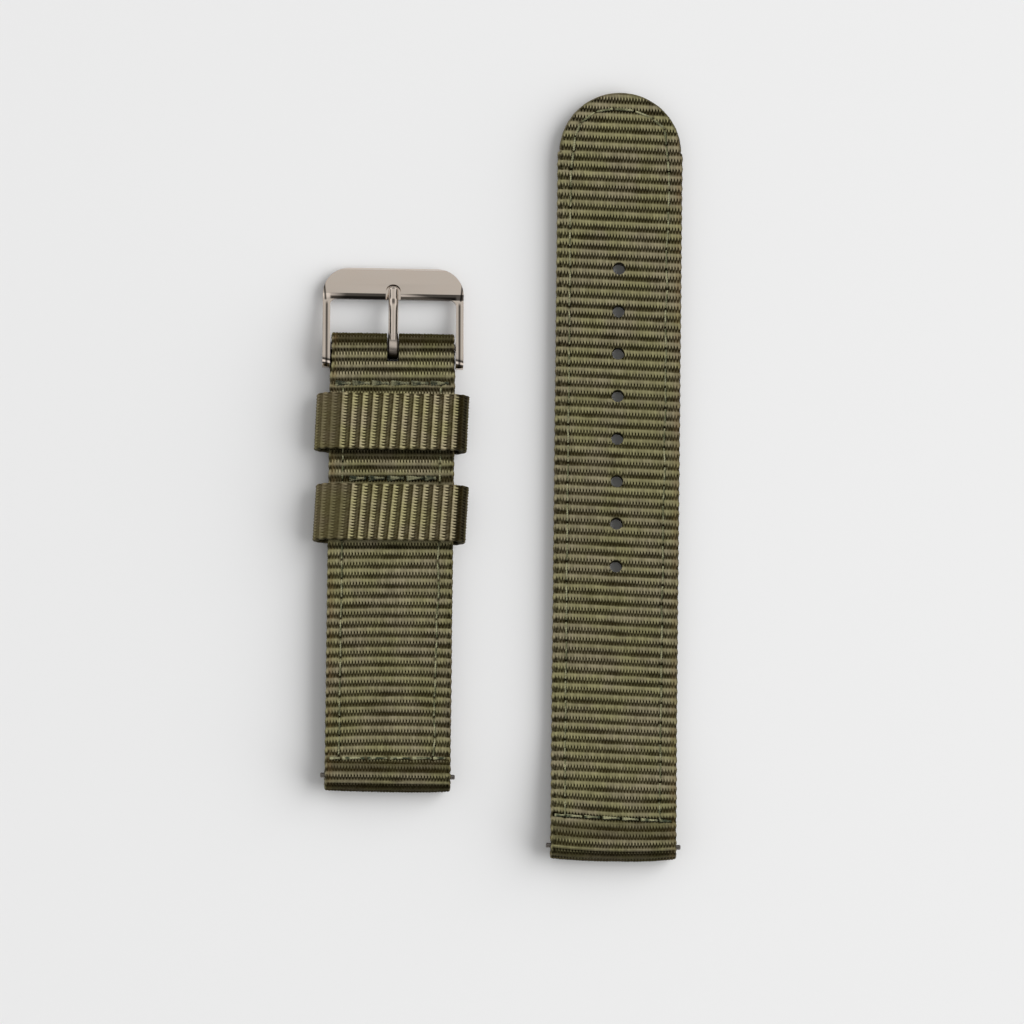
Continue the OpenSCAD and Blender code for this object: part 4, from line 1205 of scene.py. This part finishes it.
class STRAP_OT_keepers(bpy.types.Operator):
    """Makes the fixed and the floating keeper"""

    bl_idname = "strap.keepers"
    bl_label = "Keepers"

    def execute(self, context):
        settings, warm = context.scene.strap_keeper, context.scene.strap_band.warm
        material = webbing_material("keeper_nylon", settings.dark, settings.light, warm, (1300, 9000, 5000))
        for node, body, seed, lean, left_shade_from, move in (
            ("fixed_keeper", "strap_halves", 41, 0.10, 6.4, 0.0),
            ("floating_keeper", "floating_keeper", 51, 0.075, 7.6, 0.35),
        ):
            ring = Ring(node, seed, lean, left_shade_from, move)
            rows = np.array([(i + f) * ring.pitch for i in range(ring.ribs) for f in KEEPER_ROW_SHARES])[::-1]
            half = ring.width / 2 - EDGE_INSET
            A, U = np.meshgrid(rows, columns(half, ring.yarn, KEEPER_COLUMNS), indexing="ij")
            obj = build_layer(node + "_ring", ring.place, ring, A, U * half, closed=True)
            finish_piece(obj, material, body, [node])
        return {"FINISHED"}


class STRAP_OT_stitching(bpy.types.Operator):
    """Sews every row of stitches on both faces: each node of stitches becomes one mesh of twisted threads"""

    bl_idname = "strap.stitching"
    bl_label = "Stitching"

    def execute(self, context):
        settings = context.scene.strap_thread
        fine = thread_material("fine_thread", settings.seam, settings.pale)
        dark = thread_material(
            "dark_thread", tuple(0.5 * c for c in settings.deep), tuple(0.62 * c for c in settings.pale)
        )
        thick = thread_material("thick_thread", settings.deep, settings.pale)
        shapes = {"short": (short_outline(), SHORT_X), "tail": (tail_outline(), TAIL_X)}
        for number, (node, ends) in enumerate(stitch_rows().items()):
            # Material, thickness and how far apart the strands' ends lie
            if node in ("keeper_row_stitches", "buckle_row_stitches"):
                material, size, splits = dark, 1.7, (-0.38, 0.0, 0.38)
            elif "row" in node:
                material, size, splits = thick, 1.45, (-0.13, 0.13)
            else:
                material, size, splits = fine, 1.6 if "tip" in node else 1.3, (0.0,)
            kind = "tail" if node.startswith("tail") else "short"
            segments, lifts = [], []
            for pair in zip(ends[:-1], ends[1:]):
                for under, split in ((True, 0.0), *((False, s) for s in splits)):
                    a, b = self.stitch(*shapes[kind], kind, pair, under, split, "side" in node)
                    segments.append((a, b))
                    lifts.append(-0.75 if under else 1.0)
            turns = settings.twist * np.mean([np.linalg.norm(b - a) for a, b in segments])
            obj = sew(
                node.replace("_stitches", "_thread"), segments, lifts, material, settings.thickness * size,
                settings.rise, 2 * math.pi * turns, 3 + number,
            )
            finish_piece(obj, material, "strap_halves", [node])
        self.hidden_rows(settings, thick)
        return {"FINISHED"}

    def stitch(self, shape, centre_x, kind, pair, under, split, lowered):
        """Both ends of one strand, a little short of its needle holes."""
        ends = []
        for sign, (a, x) in zip((1, -0.4), pair):
            z = shape.at(shape.outer, a)[1] - THREAD_DEPTH
            if kind == "short" and lowered and a > TURNED_ABOVE:
                z -= TURNED_DEPTH
            if under:
                middle = tail_middle(a) if kind == "tail" else LUG_BAR[2]
                z = 2 * middle - z + UNDER_RISE
            ends.append(np.array((centre_x + x, a + split * sign, z)))
        gap = (ends[1] - ends[0]) * 0.07
        return ends[0] + gap, ends[1] - gap

    def hidden_rows(self, settings, material):
        """The tack that holds the fixed keeper, and the seam that closes the floating one."""
        for node, name, body, axis, count in (
            ("keeper_tack_stitches", "keeper_tack_thread", "strap_halves", 0, 4),
            ("floating_keeper_seam", "floating_keeper_seam_thread", "floating_keeper", 1, 3),
        ):
            low, high = box_mm(node)
            points = np.tile((low + high) / 2, (count + 1, 1))
            points[:, axis] = np.linspace(low[axis], high[axis], count + 1)
            points[:, 2] = low[2] + 0.28
            gap = 0.06 * np.diff(points, axis=0)
            segments = list(zip(points[:-1] + gap, points[1:] - gap))
            obj = sew(
                name, segments, [-0.5] * count, material, settings.thickness, settings.rise, 8.0, 77
            )
            finish_piece(obj, material, body, [node])


# The dark of the painted reflections in polished steel, and the length of the buckle's face plate
PAINTED_REFLECTION_DARK = (0.030, 0.024, 0.018)
PLATE_LENGTH = 5.3


def darken(tree, shader, *parts):
    """Paints reflections into polished steel: darkens its colour where it would mirror something dark. Each
    part is a strength and its masks.
    """
    base = shader.inputs["Base Color"].links[0].from_socket
    for strength, *masks in parts:
        whole = masks[0]
        for other in (*masks[1:], strength):
            whole = maths(tree, "MULTIPLY", whole, other)
        base = mix_colours(tree, whole, base, PAINTED_REFLECTION_DARK)
    feed(tree, shader, {"Base Color": base})


def buckle_painted_reflections(tree, shader, node):
    """Painted reflections: the dark wall below the face, the dark line at its ends and the dark line along
    each arm.
    """
    low, high = box_mm(node)
    place = add_node(tree, "ShaderNodeTexCoord")
    x, y, _ = add_node(tree, "ShaderNodeSeparateXYZ", {0: place.outputs["Object"]}).outputs
    _, facing_y, facing_z = add_node(tree, "ShaderNodeSeparateXYZ", {0: place.outputs["Normal"]}).outputs
    aside = maths(tree, "ABSOLUTE", maths(tree, "SUBTRACT", x, SHORT_X * MM))
    plate_low, half = high[1] - PLATE_LENGTH, (high[0] - low[0]) / 2
    slanted = maths(tree, "ADD", aside, maths(tree, "MULTIPLY_ADD", y, -0.10, 0.10 * plate_low * MM))

    def at_y(start, end, edge=plate_low):
        return mask(tree, y, (edge + start) * MM, (edge + end) * MM)

    def at_side(value, start, end):
        return mask(tree, value, (half - start) * MM, (half - end) * MM)

    wall, up = mask(tree, facing_y, -0.08, -0.26), mask(tree, facing_z, 0.25, 0.6)
    between = at_side(aside, 1.0, 1.4)
    # Painted reflections: each part darkens the steel where it would mirror something dark
    darken(
        tree, shader,
        (0.93, wall, at_y(-0.4, -0.2), at_y(0.66, 0.50), between),
        (0.25, wall, at_y(0.50, 0.66), between),
        (0.92, at_y(-0.2, 0.1), up, at_y(-1.4, -2.6, high[1]), at_side(slanted, 0.70, 0.50),
         at_side(slanted, 0.22, 0.40)),
        (0.85, at_y(-0.1, -0.9), up, at_side(aside, 0.92, 0.72), at_side(aside, 0.40, 0.56)),
    )


def tongue_dullness_and_painted_reflections(tree, shader, node):
    """The tongue's eye, duller than the rest, and painted reflections: dark where the tongue turns down into
    the webbing and along the sides of its eye.
    """
    foot = box_mm(node)[0][1]
    x, y, _ = add_node(tree, "ShaderNodeSeparateXYZ", {0: object_place(tree)}).outputs
    aside = maths(tree, "ABSOLUTE", maths(tree, "SUBTRACT", x, SHORT_X * MM))
    eye = mask(tree, y, (foot + 4.6) * MM, (foot + 3.6) * MM)
    # Painted reflections at the tongue's end and at the sides of its eye
    darken(
        tree, shader,
        (0.88, mask(tree, y, (foot + 1.7) * MM, (foot + 0.9) * MM)),
        (0.75, eye, mask(tree, aside, 0.42 * MM, 0.75 * MM)),
    )
    polish = shader.inputs["Roughness"].links[0].from_socket
    feed(tree, shader, {"Roughness": maths(tree, "ADD", polish, maths(tree, "MULTIPLY", eye, 0.26))})


# Metres between points that are joined, and degrees between faces that are flat and that are sharp
JOIN_DISTANCE = 2e-6
FLAT_ANGLE = 0.6
SHARP_ANGLE = 28


def polished_copy(node, name, edge):
    """A CAD solid with its loose triangles joined and its sharp edges rounded."""
    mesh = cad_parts[node].data.copy()
    mesh.name = name
    obj = add_object(name, mesh)
    shape = bmesh.new()
    shape.from_mesh(mesh)
    bmesh.ops.remove_doubles(shape, verts=shape.verts, dist=JOIN_DISTANCE)
    bmesh.ops.dissolve_limit(
        shape, angle_limit=math.radians(FLAT_ANGLE), verts=shape.verts, edges=shape.edges,
        use_dissolve_boundaries=False,
    )
    bmesh.ops.recalc_face_normals(shape, faces=shape.faces)
    shape.to_mesh(mesh)
    shape.free()
    mesh.polygons.foreach_set("use_smooth", np.ones(len(mesh.polygons), dtype=bool))
    bevel = obj.modifiers.new("round", "BEVEL")
    bevel.width = edge
    bevel.segments = 3
    bevel.limit_method = "ANGLE"
    bevel.angle_limit = math.radians(SHARP_ANGLE)
    bevel.harden_normals = True
    return obj


class STRAP_OT_buckle(bpy.types.Operator):
    """Makes the polished buckle and its tongue"""

    bl_idname = "strap.buckle"
    bl_label = "Buckle"

    def execute(self, context):
        steel = context.scene.strap_steel
        for node, name, look, edge, marks in (
            ("buckle_frame", "polished_frame", "polished_steel", steel.edge, buckle_painted_reflections),
            ("buckle_tongue", "polished_tongue", "tongue_steel", steel.edge * 0.4, tongue_dullness_and_painted_reflections),
        ):
            material, tree, shader = steel_material(look, steel.steel, steel.roughness)
            # Painted reflections in the steel's colour, and for the tongue a duller eye
            marks(tree, shader, node)
            finish_piece(polished_copy(node, name, edge), material, node, [node])
        return {"FINISHED"}


class STRAP_OT_bars(bpy.types.Operator):
    """Finishes the tubes, plungers and springs of the three bars"""

    bl_idname = "strap.bars"
    bl_label = "Spring bars"

    def execute(self, context):
        steel = context.scene.strap_steel
        bar = steel_material("satin_steel", steel.bar, 0.22, 0.1)[0]
        wire = steel_material("spring_wire", steel.spring, 0.3, 0.1)[0]
        for name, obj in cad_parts.items():
            if "bar_" not in name:
                continue
            material = wire if name.endswith("spring") else bar
            if not obj.data.materials:
                obj.data.materials.append(material)
            for k in range(len(obj.data.materials)):
                obj.data.materials[k] = material
        return {"FINISHED"}


# Stage

# Degrees that the camera leans back, sideways and rolls, the point it looks at and how far off it is
CAMERA_TILT = (8.807, -2.161, 0.656)
CAMERA_AIM = (2.0947, -6.0787, 2.7)
CAMERA_FAR = 3000.0
CAMERA_FOCAL = 18740.15
SENSOR = 36
PICTURE = 1024
FLOOR_HALF = 6000
FLOOR_Z = -0.02


class STRAP_OT_stage(bpy.types.Operator):
    """Sets the floor, the lights and the camera"""

    bl_idname = "strap.stage"
    bl_label = "Stage"

    def execute(self, context):
        settings = context.scene.strap_stage
        context.scene.view_settings.view_transform = "Standard"
        self.camera(context.scene)
        corners = np.array([(-1, -1, 0), (1, -1, 0), (1, 1, 0), (-1, 1, 0)]) * FLOOR_HALF + (0, 0, FLOOR_Z)
        floor = make_mesh("floor", corners, [np.array([[0, 1, 2, 3]])])
        material, tree, shader = new_material("pale_floor")
        feed(tree, shader, {
            "Base Color": (*settings.floor, 1), "Roughness": 0.9, "Specular IOR Level": 0.1
        })
        floor.data.materials.append(material)
        # One lamp lights all but the floor, and the other lays the soft shadows on the floor alone
        for name, power, place, size, group, state in (
            ("key", settings.key, (-0.95, 1.35, 1.65), 0.9, "strap_only", "EXCLUDE"),
            ("side", settings.side, (3.18, 0.25, 1.69), 5.6, "floor_only", "INCLUDE"),
        ):
            data = bpy.data.lights.new(name, "AREA")
            data.energy = power
            data.shape = "DISK"
            data.size = size
            lamp = add_object(name, data)
            lamp.location = place
            lamp.rotation_euler = Vector(place).to_track_quat("Z", "Y").to_euler()
            lamp.visible_glossy = False
            receivers = bpy.data.collections.new(group)
            receivers.objects.link(floor)
            lamp.light_linking.receiver_collection = receivers
            for item in receivers.collection_objects:
                item.light_linking.link_state = state
        context.scene.world = soft_room(settings.ambient)
        return {"FINISHED"}

    def camera(self, scene):
        """A camera that looks straight down, but for its tilt."""
        data = bpy.data.cameras.new("camera")
        data.lens = CAMERA_FOCAL * SENSOR / PICTURE
        data.sensor_width = SENSOR
        data.clip_start, data.clip_end = 0.01, 100
        camera = add_object("camera", data)
        lean, side, roll = (math.radians(t) for t in CAMERA_TILT)
        rotation = Matrix.Rotation(side, 3, "Y") @ Matrix.Rotation(lean, 3, "X")
        rotation = rotation @ Matrix.Rotation(roll, 3, "Z")
        camera.rotation_euler = rotation.to_euler()
        camera.location = (Vector(CAMERA_AIM) + rotation.col[2] * CAMERA_FAR) * MM
        scene.camera = camera


def soft_room(ambient):
    """Even light for everything, and a room of screens and dark gaps for polished steel to reflect."""
    world = bpy.data.worlds.new("soft_room")
    world.use_nodes = True
    tree = world.node_tree
    tree.nodes.clear()

    def ramp(source, *stops):
        node = add_node(tree, "ShaderNodeValToRGB", {0: source})
        node.color_ramp.elements[0].position = stops[0][0]
        node.color_ramp.elements[1].position = stops[-1][0]
        for position, _ in stops[1:-1]:
            node.color_ramp.elements.new(position)
        for element, (_, value) in zip(node.color_ramp.elements, stops):
            warm = (1.0, 0.995, 0.975) if value < 0.9 else (1.0, 0.99, 0.98)
            element.color = (*(value * c for c in warm), 1.0)
        return node.outputs[0]

    place = add_node(tree, "ShaderNodeTexCoord").outputs["Generated"]
    x, y, _ = add_node(tree, "ShaderNodeSeparateXYZ", {0: place}).outputs
    # Screens met from the foot of the strap to its head, in half turns of the direction's Y
    down = ramp(
        maths(tree, "MULTIPLY_ADD", y, 0.5, 0.5, clamp=True),
        (0.0, 0.05), (0.05, 0.08), (0.09, 1.0), (0.20, 1.0), (0.25, 0.12), (0.40, 0.10), (0.46, 0.50),
        (0.56, 0.60), (0.75, 0.66), (0.90, 0.70), (0.96, 0.20), (1.0, 0.05),
    )
    sideways = maths(tree, "ABSOLUTE", x)
    across = ramp(sideways, (0.0, 0.5), (0.42, 0.45), (0.50, 1.0), (0.72, 1.0), (0.78, 0.10), (1.0, 0.05))
    edge = maths(tree, "MULTIPLY_ADD", sideways, 9.0, -3.6, clamp=True)
    room = mix_colours(tree, edge, down, across)
    even = add_node(tree, "ShaderNodeBackground", {0: (1, 1, 1, 1), 1: ambient}).outputs[0]
    room = add_node(tree, "ShaderNodeBackground", {0: room}).outputs[0]
    glossy = add_node(tree, "ShaderNodeLightPath").outputs["Is Glossy Ray"]
    both = add_node(tree, "ShaderNodeMixShader", {0: glossy, 1: even, 2: room}).outputs[0]
    add_node(tree, "ShaderNodeOutputWorld", {0: both})
    return world


class STRAP_PT_panel(bpy.types.Panel):
    bl_idname = "STRAP_PT_panel"
    bl_label = "Nylon watch strap"
    bl_space_type = "VIEW_3D"
    bl_region_type = "UI"
    bl_category = "Strap"

    def draw(self, context):
        layout = self.layout
        for operator in OPERATORS:
            layout.operator(operator.bl_idname)
        for key, group in SETTINGS.items():
            box = layout.box()
            for name in group.__annotations__:
                box.prop(getattr(context.scene, key), name)


OPERATORS = (
    STRAP_OT_stage,
    STRAP_OT_short_band,
    STRAP_OT_tail_band,
    STRAP_OT_keepers,
    STRAP_OT_stitching,
    STRAP_OT_buckle,
    STRAP_OT_bars,
)
CLASSES = (*SETTINGS.values(), *OPERATORS, STRAP_PT_panel)


def register():
    for cls in CLASSES:
        bpy.utils.register_class(cls)
    for key, group in SETTINGS.items():
        setattr(bpy.types.Scene, key, PointerProperty(type=group))


def unregister():
    for key in SETTINGS:
        delattr(bpy.types.Scene, key)
    for cls in reversed(CLASSES):
        bpy.utils.unregister_class(cls)


def main():
    register()
    bpy.ops.strap.stage()
    bpy.ops.strap.short_band()
    bpy.ops.strap.tail_band()
    bpy.ops.strap.keepers()
    bpy.ops.strap.stitching()
    bpy.ops.strap.buckle()
    bpy.ops.strap.bars()


if __name__ == "__main__":
    main()
